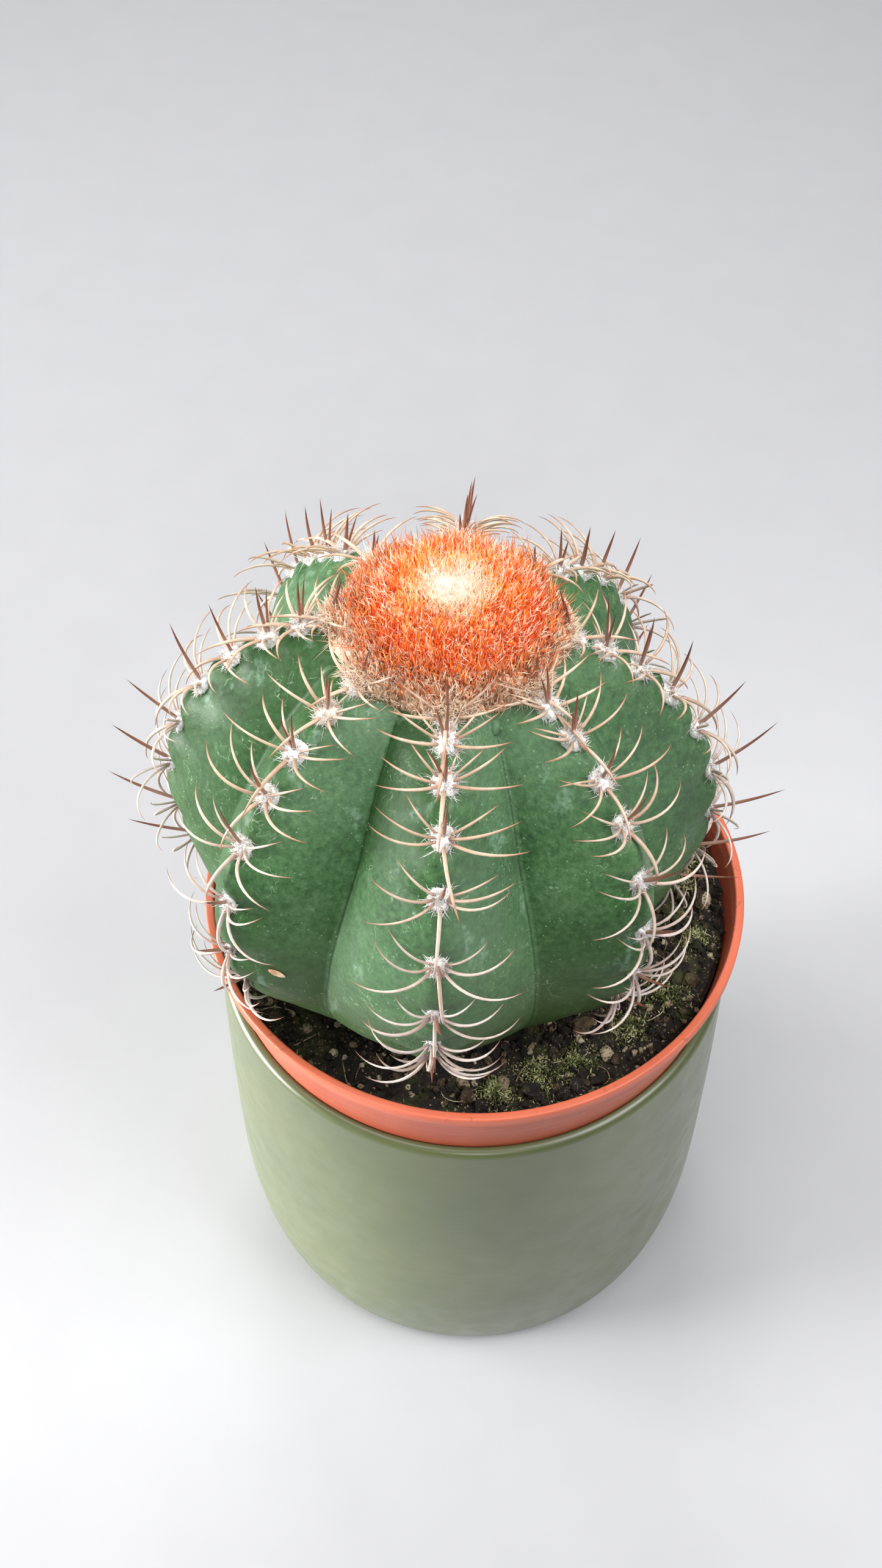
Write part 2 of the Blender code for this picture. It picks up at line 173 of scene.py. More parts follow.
@dataclass
class Surface:
    """Points, faces and per-point values of a piece before it becomes a mesh."""

    points: Array
    faces: list[Array]
    values: Values = field(default_factory=dict)

    @classmethod
    def joined(cls, parts: Sequence["Surface"]) -> "Surface":
        """Lay several surfaces into one, keeping the values that all of them have.

        Args:
            parts: The surfaces.

        Returns:
            One surface with every part's points and faces.
        """
        starts = np.cumsum([0] + [len(part.points) for part in parts[:-1]])
        faces = [face + start for part, start in zip(parts, starts) for face in part.faces]
        shared = set.intersection(*(set(part.values) for part in parts))
        values = {key: np.concatenate([part.values[key] for part in parts]) for key in shared}
        return cls(np.concatenate([part.points for part in parts]), faces, values)

    def dressed(self, name: str, material: bpy.types.Material, smooth: bool = True) -> bpy.types.Object:
        """Make the mesh object, give it its material and let it ride on the root body.

        Args:
            name: Name of the piece.
            material: Its finish.
            smooth: Whether its faces are shaded smooth.

        Returns:
            The object, at the origin.
        """
        mesh = bpy.data.meshes.new(name)
        loops = np.concatenate([face.ravel() for face in self.faces])
        sizes = np.concatenate([np.full(len(face), face.shape[1]) for face in self.faces])
        mesh.vertices.add(len(self.points))
        mesh.vertices.foreach_set("co", self.points.astype(np.float32).ravel())
        mesh.loops.add(len(loops))
        mesh.loops.foreach_set("vertex_index", loops.astype(np.int32))
        mesh.polygons.add(len(sizes))
        starts = np.concatenate([[0], np.cumsum(sizes)[:-1]])
        mesh.polygons.foreach_set("loop_start", starts.astype(np.int32))
        mesh.polygons.foreach_set("use_smooth", np.full(len(sizes), smooth))
        for key, data in self.values.items():
            layer = mesh.attributes.new(key, "FLOAT", "POINT")
            layer.data.foreach_set("value", data.astype(np.float32))
        mesh.update(calc_edges=True)
        mesh.validate()
        mesh.materials.append(material)
        piece = placed(name, mesh)
        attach(piece, ROOT)
        LOG.info("%s: %d points, %d faces", name, len(self.points), len(sizes))
        return piece


def ringed(grid: Array, values: Values | None = None) -> Surface:
    """Close rows of points into rings and each end into a pole.

    Args:
        grid: Points (rows, columns, 3); columns run anticlockwise seen from the last row.
        values: Numbers (rows, columns) to carry on the points.

    Returns:
        The closed surface.
    """
    rows, columns = grid.shape[:2]
    index = np.arange(rows * columns).reshape(rows, columns)
    ahead = np.roll(index, -1, axis=1)
    quads = np.stack([index[:-1], ahead[:-1], ahead[1:], index[1:]], -1).reshape(-1, 4)
    ends = np.full((2, columns), rows * columns) + np.array([[0], [1]])
    low = np.stack([ends[0], ahead[0], index[0]], -1)
    high = np.stack([ends[1], index[-1], ahead[-1]], -1)
    points = np.concatenate([grid.reshape(-1, 3), [grid[0].mean(0), grid[-1].mean(0)]])
    carried = {
        key: np.concatenate([data.ravel(), [data[0].mean(), data[-1].mean()]])
        for key, data in (values or {}).items()
    }
    return Surface(points, [quads, low, high], carried)


def arc(centre: Pair, radii: Pair, start: float, end: float, count: int) -> list[Pair]:
    """Points on an ellipse: the centre plus a cos(angle) across and b sin(angle) up.

    Args:
        centre: Radius and height of the ellipse's middle.
        radii: Its half width a and half height b.
        start: First angle in degrees.
        end: Last angle in degrees.
        count: How many points.

    Returns:
        Radius and height pairs.
    """
    angles = np.radians(np.linspace(start, end, count))
    return [(centre[0] + radii[0] * math.cos(a), centre[1] + radii[1] * math.sin(a)) for a in angles]


def turned(profile: Sequence[Pair], columns: int) -> Surface:
    """Carry a profile round the Z axis.

    Args:
        profile: Radius and height pairs, from the middle of the underside up the outer side.
        columns: Points round the axis.

    Returns:
        The closed surface of revolution.
    """
    radius, height = np.array(profile).T[:, :, None]
    angle = TAU * np.arange(columns) / columns
    grid = [radius * np.cos(angle), radius * np.sin(angle), height + 0 * angle]
    return ringed(np.stack(grid, -1))


def ball(rows: int, columns: int) -> Surface:
    """A unit ball of a few rings, each turned half a step from the one below.

    Args:
        rows: Rings between the poles.
        columns: Points in a ring.

    Returns:
        The closed surface.
    """
    height = -np.cos(math.pi * np.arange(1, rows + 1) / (rows + 1))[:, None]
    angle = TAU * (np.arange(columns) + np.arange(rows)[:, None] / 2) / columns
    radius = np.sqrt(1 - height**2)
    grid = [radius * np.cos(angle), radius * np.sin(angle), height + 0 * angle]
    shape = ringed(np.stack(grid, -1))
    shape.points[-2:, 2] = (-1, 1)
    return shape


def stamped(shape: Surface, frames: Array, origins: Array, values: Values) -> Surface:
    """Copy a surface to many places.

    Args:
        shape: What is copied.
        frames: Matrices (n, 3, 3) that turn and stretch each copy.
        origins: Where each copy's origin goes, (n, 3).
        values: One number per copy for each name.

    Returns:
        All copies as one surface.
    """
    count, size = len(origins), len(shape.points)
    points = np.einsum("nij,pj->npi", frames, shape.points) + origins[:, None]
    shift = size * np.arange(count)[:, None, None]
    faces = [(face[None] + shift).reshape(-1, face.shape[1]) for face in shape.faces]
    carried = {key: np.repeat(data, size) for key, data in values.items()}
    return Surface(points.reshape(-1, 3), faces, carried)


def random_frames(dice: np.random.Generator, scales: Array) -> Array:
    """Random turns with a stretch along each own axis.

    Args:
        dice: Source of the turns.
        scales: Stretches (n, 3).

    Returns:
        Matrices (n, 3, 3).
    """
    first = unit(dice.normal(size=(len(scales), 3)))
    second = unit(np.cross(first, dice.normal(size=(len(scales), 3))))
    frames = np.stack([first, second, np.cross(first, second)], -1)
    return frames * scales[:, None, :]


@dataclass
class Strands:
    """A bundle of strands: paths (n, samples, 3), radii (n, samples) and one value each by name."""

    paths: Array
    radii: Array
    values: Values

    def surface(self, sides: int) -> Surface:
        """Carry a polygon along every path and close it to a point at the last sample.

        Args:
            sides: Corners of the polygon.

        Returns:
            All strands as one surface, with "along" running from 0 at the base to 1 at the tip.
        """
        count, samples = self.radii.shape
        tangent = unit(np.gradient(self.paths, axis=1))
        chord = self.paths[:, -1] - self.paths[:, 0]
        least = np.eye(3)[np.argmin(np.abs(chord), axis=1)][:, None]
        side = unit(np.cross(tangent, least))
        lift = np.cross(tangent, side)
        angle = TAU * np.arange(sides)[:, None] / sides
        ring = np.cos(angle) * side[:, :, None] + np.sin(angle) * lift[:, :, None]
        rings = self.paths[:, :, None] + self.radii[:, :, None, None] * ring
        body = rings[:, :-1].reshape(count, -1, 3)
        points = np.concatenate([body, self.paths[:, -1:]], axis=1)
        size = (samples - 1) * sides + 1
        index = np.arange((samples - 1) * sides).reshape(samples - 1, sides)
        ahead = np.roll(index, -1, axis=1)
        quads = np.stack([index[:-1], ahead[:-1], ahead[1:], index[1:]], -1).reshape(-1, 4)
        tip = np.stack([index[-1], ahead[-1], np.full(sides, size - 1)], -1)
        shift = size * np.arange(count)[:, None, None]
        shapes = [quads, tip, index[0][None, ::-1]]
        faces = [(face[None] + shift).reshape(-1, face.shape[1]) for face in shapes]
        share = np.repeat(np.linspace(0, 1, samples), sides)[: size - 1]
        values = {"along": np.tile(np.append(share, 1.0), count)}
        values.update({key: np.repeat(data, size) for key, data in self.values.items()})
        return Surface(points.reshape(-1, 3), faces, values)


def curled(
    starts: Array, heads: Array, lengths: Array, sway: Array, samples: int, radii: Array, values: Values
) -> Strands:
    """Strands that leave along a heading and are carried aside by the square of the way.

    Their radius falls by three quarters of that square before they close to a point.

    Args:
        starts: Where each begins, (n, 3).
        heads: Directions, (n, 3).
        lengths: Lengths in metres.
        sway: Sideways drift at the tip as a share of the length, (n, 3).
        samples: Points along each.
        radii: Radius at each base.
        values: Numbers to carry.

    Returns:
        The strands, thinning to a point.
    """
    way = np.linspace(0, 1, samples)[None, :, None]
    paths = starts[:, None] + lengths[:, None, None] * (heads[:, None] * way + sway[:, None] * way**2)
    taper = radii[:, None] * (1 - 0.75 * way[..., 0] ** 2)
    return Strands(paths, taper, values)


class Sheet:
    """A material under construction: its nodes are added and joined by short calls."""

    def __init__(self, name: str, roughness: float, **settings: float) -> None:
        """Start a Principled material.

        Args:
            name: The material's name.
            roughness: Its roughness where no node sets it.
            settings: Other constant inputs, with underscores for spaces.
        """
        self.material = bpy.data.materials.new(name)
        self.material.use_nodes = True
        self.tree = self.material.node_tree
        self.shader = self.tree.nodes["Principled BSDF"]
        self.shader.inputs["Roughness"].default_value = roughness
        for key, value in settings.items():
            self.shader.inputs[key.replace("_", " ")].default_value = value
        self.place = self.add("ShaderNodeTexCoord", {}).outputs["Object"]

    def add(self, kind: str, inputs: dict[Any, Any], **settings: Any) -> bpy.types.Node:
        """Add a node, set its constants and join what it reads.

        Args:
            kind: Node type.
            inputs: Input name or number to a constant or an output socket.
            settings: Properties of the node.

        Returns:
            The node.
        """
        node = self.tree.nodes.new(kind)
        for key, value in settings.items():
            setattr(node, key, value)
        for key, value in inputs.items():
            self.put(node.inputs[key], value)
        return node

    def put(self, socket: bpy.types.NodeSocket, value: Any) -> None:
        """Link or set one input.

        Args:
            socket: The input.
            value: An output socket or a constant.
        """
        if isinstance(value, bpy.types.NodeSocket):
            self.tree.links.new(value, socket)
        else:
            socket.default_value = value

    def value(self, name: str) -> bpy.types.NodeSocket:
        """Read a number carried on the points."""
        return self.add("ShaderNodeAttribute", {}, attribute_name=name).outputs["Fac"]

    def noise(self, scale: float, detail: float = 4, rough: float = 0.55, warp: float = 0,
              where: Any = None) -> bpy.types.NodeSocket:
        """Cloudy noise from 0 to 1.

        Args:
            scale: Cells per metre.
            detail: Octaves.
            rough: Strength of the finer octaves.
            warp: Distortion.
            where: Coordinates, or the object's own.

        Returns:
            The noise's output.
        """
        inputs = {"Vector": where or self.place, "Scale": scale, "Detail": detail}
        inputs.update({"Roughness": rough, "Distortion": warp})
        return self.add("ShaderNodeTexNoise", inputs).outputs["Fac"]

    def cells(self, scale: float, feature: str = "F1") -> bpy.types.NodeSocket:
        """Distance within scattered cells, so many to a metre."""
        inputs = {"Vector": self.place, "Scale": scale}
        return self.add("ShaderNodeTexVoronoi", inputs, feature=feature).outputs["Distance"]

    def ramp(self, fac: Any, stops: Sequence[tuple[float, Colour]]) -> bpy.types.NodeSocket:
        """Colours by a factor.

        Args:
            fac: The factor's socket.
            stops: Positions and colours in order.

        Returns:
            The colour output.
        """
        node = self.add("ShaderNodeValToRGB", {"Fac": fac})
        points = node.color_ramp.elements
        while len(points) < len(stops):
            points.new(1.0)
        for point, (at, colour) in zip(points, stops):
            point.position = at
            point.color = colour
        return node.outputs["Color"]

    def step(self, fac: Any, low: float, high: float, to_low: float = 0,
             to_high: float = 1) -> bpy.types.NodeSocket:
        """Stretch a factor between two limits, clamped.

        Args:
            fac: The factor's socket.
            low: Where the change starts.
            high: Where it ends.
            to_low: Result at the start.
            to_high: Result at the end.

        Returns:
            The stretched factor.
        """
        inputs = {"Value": fac, "From Min": low, "From Max": high, "To Min": to_low, "To Max": to_high}
        return self.add("ShaderNodeMapRange", inputs, interpolation_type="SMOOTHSTEP").outputs["Result"]

    def calc(self, operation: str, first: Any, second: Any = 0.0) -> bpy.types.NodeSocket:
        """One operation on two numbers."""
        return self.add("ShaderNodeMath", {0: first, 1: second}, operation=operation).outputs[0]

    def plus(self, first: Any, second: Any) -> bpy.types.NodeSocket:
        """The sum of two numbers."""
        return self.calc("ADD", first, second)

    def times(self, first: Any, second: Any) -> bpy.types.NodeSocket:
        """The product of two numbers."""
        return self.calc("MULTIPLY", first, second)

    def apart(self, value: Any, level: float) -> bpy.types.NodeSocket:
        """How far a number is from a level, either way."""
        return self.calc("ABSOLUTE", self.calc("SUBTRACT", value, level))

    def blend(self, fac: Any, first: Any, second: Any, mode: str = "MIX") -> bpy.types.NodeSocket:
        """Mix two colours.

        Args:
            fac: Share of the second.
            first: First colour or socket.
            second: Second colour or socket.
            mode: Blend type.

        Returns:
            The mixed colour.
        """
        inputs = {0: fac, 6: first, 7: second}
        return self.add("ShaderNodeMix", inputs, data_type="RGBA", blend_type=mode).outputs[2]

    def stretched(self, scale: Triple) -> bpy.types.NodeSocket:
        """The object's coordinates stretched along its axes."""
        return self.add("ShaderNodeMapping", {"Vector": self.place, "Scale": scale}).outputs["Vector"]

    def finish(self, colour: Any, rough: Any = None, relief: Any = None, depth: float = 0.1 * MM,
               strength: float = 0.5) -> bpy.types.Material:
        """Join colour, roughness and relief to the shader.

        Args:
            colour: Colour socket.
            rough: Roughness socket, if it varies.
            relief: Height socket, if there is relief.
            depth: Height of the relief in metres.
            strength: Strength of the relief.

        Returns:
            The finished material.
        """
        self.put(self.shader.inputs["Base Color"], colour)
        if rough is not None:
            self.put(self.shader.inputs["Roughness"], rough)
        if relief is not None:
            inputs = {"Height": relief, "Strength": strength, "Distance": depth}
            bump = self.add("ShaderNodeBump", inputs)
            self.put(self.shader.inputs["Normal"], bump.outputs["Normal"])
        return self.material


@dataclass(frozen=True)
class SageGlaze:
    """Satin sage-green glaze, slightly clouded, with faint throwing ripples and pinholes."""

    light: Colour = srgb(0.37, 0.40, 0.25)
    deep: Colour = srgb(0.32, 0.36, 0.225)
    pinhole: Colour = srgb(0.38, 0.42, 0.33)
    roughness: float = 0.34

    def build(self) -> bpy.types.Material:
        """Make the material."""
        sheet = Sheet("sage_glaze", self.roughness, Coat_Weight=0.4, Coat_Roughness=0.25)
        body = sheet.ramp(sheet.noise(28, 3, 0.5), [(0.3, self.deep), (0.7, self.light)])
        colour = sheet.blend(sheet.step(sheet.noise(900, 2), 0.66, 0.74, 0, 0.2), body, self.pinhole)
        rough = sheet.step(sheet.noise(140, 4), 0.3, 0.7, self.roughness - 0.03, self.roughness + 0.06)
        ripples = sheet.noise(1, 2, where=sheet.stretched((60, 60, 420)))
        relief = sheet.plus(sheet.times(sheet.noise(260, 2), 0.6), ripples)
        return sheet.finish(colour, rough, relief, 0.12 * MM, 0.2)


@dataclass(frozen=True)
class TerracottaPlastic:
    """Moulded terracotta-coloured plastic, dusty along its band, with a pale line under the lip and painted
    shade on the band below the lip.
    """

    fresh: Colour = srgb(0.85, 0.43, 0.31)
    # The band below the lip takes this darker colour as painted shade under the lip's step.
    under_lip_shade: Colour = srgb(0.68, 0.31, 0.21)
    # A pale colour for a line along the lip's lower edge.
    pale_edge: Colour = srgb(0.93, 0.70, 0.60)
    dust: Colour = srgb(0.86, 0.60, 0.48)
    mud: Colour = srgb(0.36, 0.22, 0.16)
    lip: float = RIM_PLANE - 3.4 * MM
    fade: float = 0.2 * MM
    roughness: float = 0.42

    def build(self) -> bpy.types.Material:
        """Make the material."""
        sheet = Sheet("terracotta_plastic", self.roughness)
        height = sheet.add("ShaderNodeSeparateXYZ", {0: sheet.place}).outputs["Z"]
        # Painted shade: below the lip the colour turns darker, as shade under the lip's step, lifted in
        # patches by a noise.
        above = sheet.step(height, self.lip - self.fade, self.lip + self.fade, 0.12, 0.75)
        unshaded_share = sheet.plus(above, sheet.step(sheet.noise(60, 5), 0.35, 0.65, 0, 0.25))
        colour = sheet.blend(unshaded_share, self.under_lip_shade, self.fresh)
        colour = sheet.blend(self.pale_edge_line(sheet, height), colour, self.pale_edge)
        streaks = sheet.noise(1, 5, 0.6, where=sheet.stretched((90, 90, 900)))
        colour = sheet.blend(sheet.step(streaks, 0.60, 0.8, 0, 0.25), colour, self.dust)
        colour = sheet.blend(sheet.step(sheet.noise(420, 5), 0.62, 0.72, 0, 0.4), colour, self.mud)
        rough = sheet.step(streaks, 0.3, 0.7, self.roughness - 0.08, self.roughness + 0.10)
        return sheet.finish(colour, rough, sheet.plus(sheet.noise(1500, 3), streaks), 0.06 * MM, 0.3)

    def pale_edge_line(self, sheet: Sheet, height: bpy.types.NodeSocket) -> bpy.types.NodeSocket:
        """A pale line along the lip's lower edge, broken up by a noise."""
        line = sheet.step(sheet.apart(height, self.lip - self.fade), 0, 0.35 * MM, 1, 0)
        return sheet.times(line, sheet.step(sheet.noise(300, 4), 0.4, 0.6, 0, 0.5))


@dataclass(frozen=True)
class PottingSoil:
    """Moist dark mix of peat, bark and grit, tinted by each crumb's tone."""

    crumbs: Stops = ((0.0, srgb(0.07, 0.05, 0.03)), (0.35, srgb(0.16, 0.12, 0.08)),
                     (0.6, srgb(0.33, 0.26, 0.17)), (0.8, srgb(0.58, 0.50, 0.38)),
                     (1.0, srgb(0.84, 0.78, 0.66)))
    grain: Colour = (0.30, 0.28, 0.24, 1)
    algae: Colour = srgb(0.33, 0.37, 0.16)
    sand: Colour = srgb(0.74, 0.66, 0.52)

    def build(self) -> bpy.types.Material:
        """Make the material."""
        sheet = Sheet("potting_soil", 0.85)
        grain = sheet.blend(sheet.step(sheet.noise(700, 6, 0.7), 0.35, 0.65), self.grain, PLAIN)
        colour = sheet.blend(1.0, sheet.ramp(sheet.value("tone"), self.crumbs), grain, "MULTIPLY")
        colour = sheet.blend(sheet.step(sheet.noise(90, 4), 0.52, 0.66, 0, 0.35), colour, self.algae)
        specks = sheet.step(sheet.noise(1500, 4, 0.7), 0.58, 0.66, 0, 0.6)
        sandy = sheet.times(specks, sheet.step(sheet.noise(160, 3), 0.42, 0.6))
        colour = sheet.blend(sandy, colour, self.sand)
        return sheet.finish(colour, None, sheet.noise(1600, 6, 0.7), 0.4 * MM, 0.8)


@dataclass(frozen=True)
class MossGreen:
    """Yellow-green moss, paler and browner where it is dry."""

    leaves: Stops = ((0.0, srgb(0.12, 0.13, 0.05)), (0.3, srgb(0.26, 0.30, 0.11)),
                     (0.55, srgb(0.48, 0.51, 0.28)), (1.0, srgb(0.86, 0.85, 0.66)))
    depth: Colour = srgb(0.30, 0.30, 0.14)

    def build(self) -> bpy.types.Material:
        """Make the material."""
        sheet = Sheet("moss", 0.85)
        leaves = sheet.ramp(sheet.value("tone"), self.leaves)
        colour = sheet.blend(sheet.step(sheet.noise(800, 4), 0.25, 0.6), self.depth, leaves)
        return sheet.finish(colour, None, sheet.noise(2500, 3), 0.2 * MM)


@dataclass(frozen=True)
class PaleGrit:
    """Pumice and dry bark: pale, porous and speckled, with painted shade in the pores."""

    stones: Stops = ((0.0, srgb(0.36, 0.28, 0.20)), (0.5, srgb(0.58, 0.52, 0.42)),
                     (1.0, srgb(0.76, 0.72, 0.60)))
    # Dark brown of the pores: painted shade.
    pore_shade: Colour = srgb(0.26, 0.21, 0.15)

    def build(self) -> bpy.types.Material:
        """Make the material."""
        sheet = Sheet("pumice", 0.9)
        # Painted shade: the pores, which are dents in the relief, take a dark brown.
        solid = sheet.step(sheet.cells(1400), 0.12, 0.5)
        colour = sheet.blend(solid, self.pore_shade, sheet.ramp(sheet.value("tone"), self.stones))
        return sheet.finish(colour, None, sheet.plus(solid, sheet.noise(900, 5)), 0.35 * MM, 0.7)


@dataclass(frozen=True)
class CactusSkin:
    """Waxy green skin: mottled, with pale flecks, contour-like scars, a leathery gloss and painted light and
    shade by flank.

    It reads three attributes: "crest" rises from 0 in a furrow to 1 on a crest, "side" from 0 on a flank with
    painted shade to 1 on a flank with painted light under a pale waxen coat, and "low" from 0 to 1 towards
    the foot, where painted shade darkens the skin.
    """

    deep: Colour = srgb(0.13, 0.25, 0.12)
    green: Colour = srgb(0.25, 0.41, 0.23)
    fresh: Colour = srgb(0.38, 0.53, 0.35)
    # Pale blue-green, partly a waxen coat and partly painted light.
    painted_light_bloom: Colour = srgb(0.50, 0.61, 0.50)
    # Colour of the painted shade at the foot.
    painted_foot_shade: Colour = srgb(0.20, 0.30, 0.13)
    shadow: Colour = srgb(0.18, 0.29, 0.14)
    # Colour of the painted shade in the furrows.
    furrow_shade: Colour = srgb(0.10, 0.20, 0.07)
    pale: Colour = srgb(0.70, 0.80, 0.66)
    frost: Colour = srgb(0.62, 0.76, 0.66)
    roughness: float = 0.48

    def build(self) -> bpy.types.Material:
        """Make the material."""
        sheet = Sheet("cactus_skin", self.roughness, Specular_IOR_Level=0.25)
        # side gives each flank painted light and shade: 0 shaded, 1 lit under a pale waxen coat.
        side = sheet.value("side")
        scar = self.scars(sheet)
        colour = self.body(sheet, side)
        colour = sheet.blend(self.flecks(sheet), colour, self.pale)
        colour = sheet.blend(sheet.times(scar, 0.42), colour, self.pale)
        streaks = sheet.noise(1, 4, 0.6, 0.4, where=sheet.stretched((120, 120, 42)))
        frosty = sheet.times(sheet.step(streaks, 0.60, 0.68), sheet.step(sheet.noise(900, 3), 0.3, 0.7))
        colour = sheet.blend(sheet.times(frosty, 0.4), colour, self.frost)
        sheen = sheet.step(side, 0.75, 1.0)
        rough = sheet.step(sheet.noise(90, 3), 0.35, 0.65, self.roughness - 0.06, self.roughness + 0.10)
        rough = sheet.plus(rough, sheet.times(sheen, -0.10))
        leather = sheet.plus(sheet.step(sheet.noise(24, 2), 0.45, 0.6, 0.25, 0.9), sheen)
        pebbles = sheet.times(sheet.times(sheet.cells(1700, "SMOOTH_F1"), -1.0), leather)
        relief = sheet.plus(pebbles, sheet.times(sheet.noise(500, 3), 0.5))
        relief = sheet.plus(relief, sheet.times(scar, 0.5))
        return sheet.finish(colour, rough, relief, 0.15 * MM, 0.6)

    def body(self, sheet: Sheet, side: bpy.types.NodeSocket) -> bpy.types.NodeSocket:
        """Mottled green: painted shade on flanks where side is low, a pale waxen coat and painted light where
        it is high, painted shade darker and browner at the foot, and dark painted shade in the furrows.

        Args:
            sheet: The material under construction.
            side: How lit and waxen the flank is, from 0 for painted shade to 1 for painted light.

        Returns:
            The colour.
        """
        coarse, fine = sheet.noise(40, 3, 0.6), sheet.noise(700, 5, 0.75)
        cloud = sheet.plus(sheet.times(coarse, 0.45), sheet.times(fine, 0.55))
        colour = sheet.ramp(cloud, [(0.38, self.deep), (0.5, self.green), (0.64, self.fresh)])
        # Painted shade on the flanks where side is low.
        colour = sheet.blend(sheet.step(side, 0.0, 0.5, 0.6, 0), colour, self.shadow)
        # Pale blue-green where side is high: partly a waxen coat in noisy patches, partly painted light.
        lit_bloom_mask = sheet.times(sheet.step(sheet.noise(30, 3), 0.30, 0.66, 0.35, 1), sheet.step(side, 0.3, 1.0))
        colour = sheet.blend(sheet.times(lit_bloom_mask, 0.42), colour, self.painted_light_bloom)
        # Painted shade: darker, browner green towards the foot, in noisy patches.
        painted_foot_shade = sheet.times(sheet.value("low"), sheet.step(sheet.noise(60, 4, 0.6), 0.25, 0.6, 0.35, 0.8))
        colour = sheet.blend(painted_foot_shade, colour, self.painted_foot_shade)
        # Painted shade along the furrows.
        return sheet.blend(sheet.step(sheet.value("crest"), 0.0, 0.03, 0.6, 0), colour, self.furrow_shade)

    def flecks(self, sheet: Sheet) -> bpy.types.NodeSocket:
        """Fine pale dots, gathered in some places and missing in others.

        Args:
            sheet: The material under construction.

        Returns:
            Their cover, 0 to 1.
        """
        small = sheet.step(sheet.cells(750), 0.08, 0.20, 0.45, 0)
        large = sheet.step(sheet.cells(330), 0.03, 0.09, 0.6, 0)
        where = sheet.step(sheet.noise(110, 3), 0.42, 0.62)
        return sheet.times(sheet.calc("MAXIMUM", small, large), where)

    def scars(self, sheet: Sheet) -> bpy.types.NodeSocket:
        """Thin wandering pale lines, the level lines of a noise, broken up by another."""
        line = sheet.step(sheet.apart(sheet.noise(95, 4, 0.55, 0.3), 0.5), 0.001, 0.007, 1, 0)
        return sheet.times(line, sheet.step(sheet.noise(80, 5, 0.65), 0.52, 0.60))


@dataclass(frozen=True)
class SpineHorn:
    """Horn of the spines: cream radials with red-brown tips, brown centrals, greyer with age, all darkened by
    a fixed share of painted edge shade.
    """

    young: Stops = ((0.0, srgb(0.60, 0.43, 0.34)), (0.2, srgb(0.85, 0.74, 0.64)),
                    (0.6, srgb(0.93, 0.85, 0.76)), (0.87, srgb(0.78, 0.57, 0.45)),
                    (1.0, srgb(0.36, 0.17, 0.12)))
    old: Stops = ((0.0, srgb(0.60, 0.50, 0.47)), (0.22, srgb(0.85, 0.79, 0.76)),
                  (0.72, srgb(0.95, 0.91, 0.88)), (0.9, srgb(0.70, 0.54, 0.47)),
                  (1.0, srgb(0.36, 0.20, 0.17)))
    central: Stops = ((0.0, srgb(0.60, 0.48, 0.44)), (0.3, srgb(0.66, 0.50, 0.43)),
                      (0.65, srgb(0.55, 0.33, 0.24)), (1.0, srgb(0.28, 0.11, 0.08)))
    tints: Stops = ((0.0, (0.78, 0.70, 0.65, 1)), (0.4, (1.0, 0.97, 0.94, 1)), (1.0, PLAIN))
    # tan is the spines' painted edge shade: a darker brown spread evenly over them at a fixed share.
    tan: Colour = srgb(0.44, 0.28, 0.21)
    edge_shade_share: float = 0.1
    streak: Colour = srgb(0.62, 0.45, 0.36)

    def build(self) -> bpy.types.Material:
        """Make the material."""
        sheet = Sheet("spine_horn", 0.38)
        along = sheet.value("along")
        radial = sheet.blend(sheet.value("age"), sheet.ramp(along, self.young), sheet.ramp(along, self.old))
        colour = sheet.blend(sheet.value("central"), radial, sheet.ramp(along, self.central))
        colour = sheet.blend(1.0, colour, sheet.ramp(sheet.value("tone"), self.tints), "MULTIPLY")
        # Painted shade: a fixed share of darker brown stands in for the spines' darker edges.
        colour = sheet.blend(self.edge_shade_share, colour, self.tan)
        streaks = sheet.noise(500, 4)
        colour = sheet.blend(sheet.step(streaks, 0.42, 0.7, 0, 0.3), colour, self.streak)
        return sheet.finish(colour, None, streaks, 0.05 * MM, 0.3)


@dataclass(frozen=True)
class Fibre:
    """Soft wool or bristle: colours from base to tip, turning darker or paler by each strand's tone."""

    name: str
    base: Colour
    middle: Colour
    tip: Colour
    shade: Colour
    pale: Colour
    roughness: float = 0.8
    gloss: float = 0.5

    def build(self) -> bpy.types.Material:
        """Make the material."""
        sheet = Sheet(self.name, self.roughness, Specular_IOR_Level=self.gloss)
        tone = sheet.value("tone")
        body = sheet.ramp(sheet.value("along"), [(0.0, self.base), (0.5, self.middle), (1.0, self.tip)])
        mottle = sheet.step(sheet.noise(350, 3), 0.4, 0.7, 0, 0.2)
        colour = sheet.blend(sheet.step(tone, 0.0, 0.5, 0.8, 0), body, self.shade)
        colour = sheet.blend(sheet.step(tone, 0.6, 1.0, 0, 0.92), colour, self.pale)
        colour = sheet.blend(mottle, colour, self.shade)
        return sheet.finish(colour, None, sheet.noise(3200, 4), 0.2 * MM, 0.45)


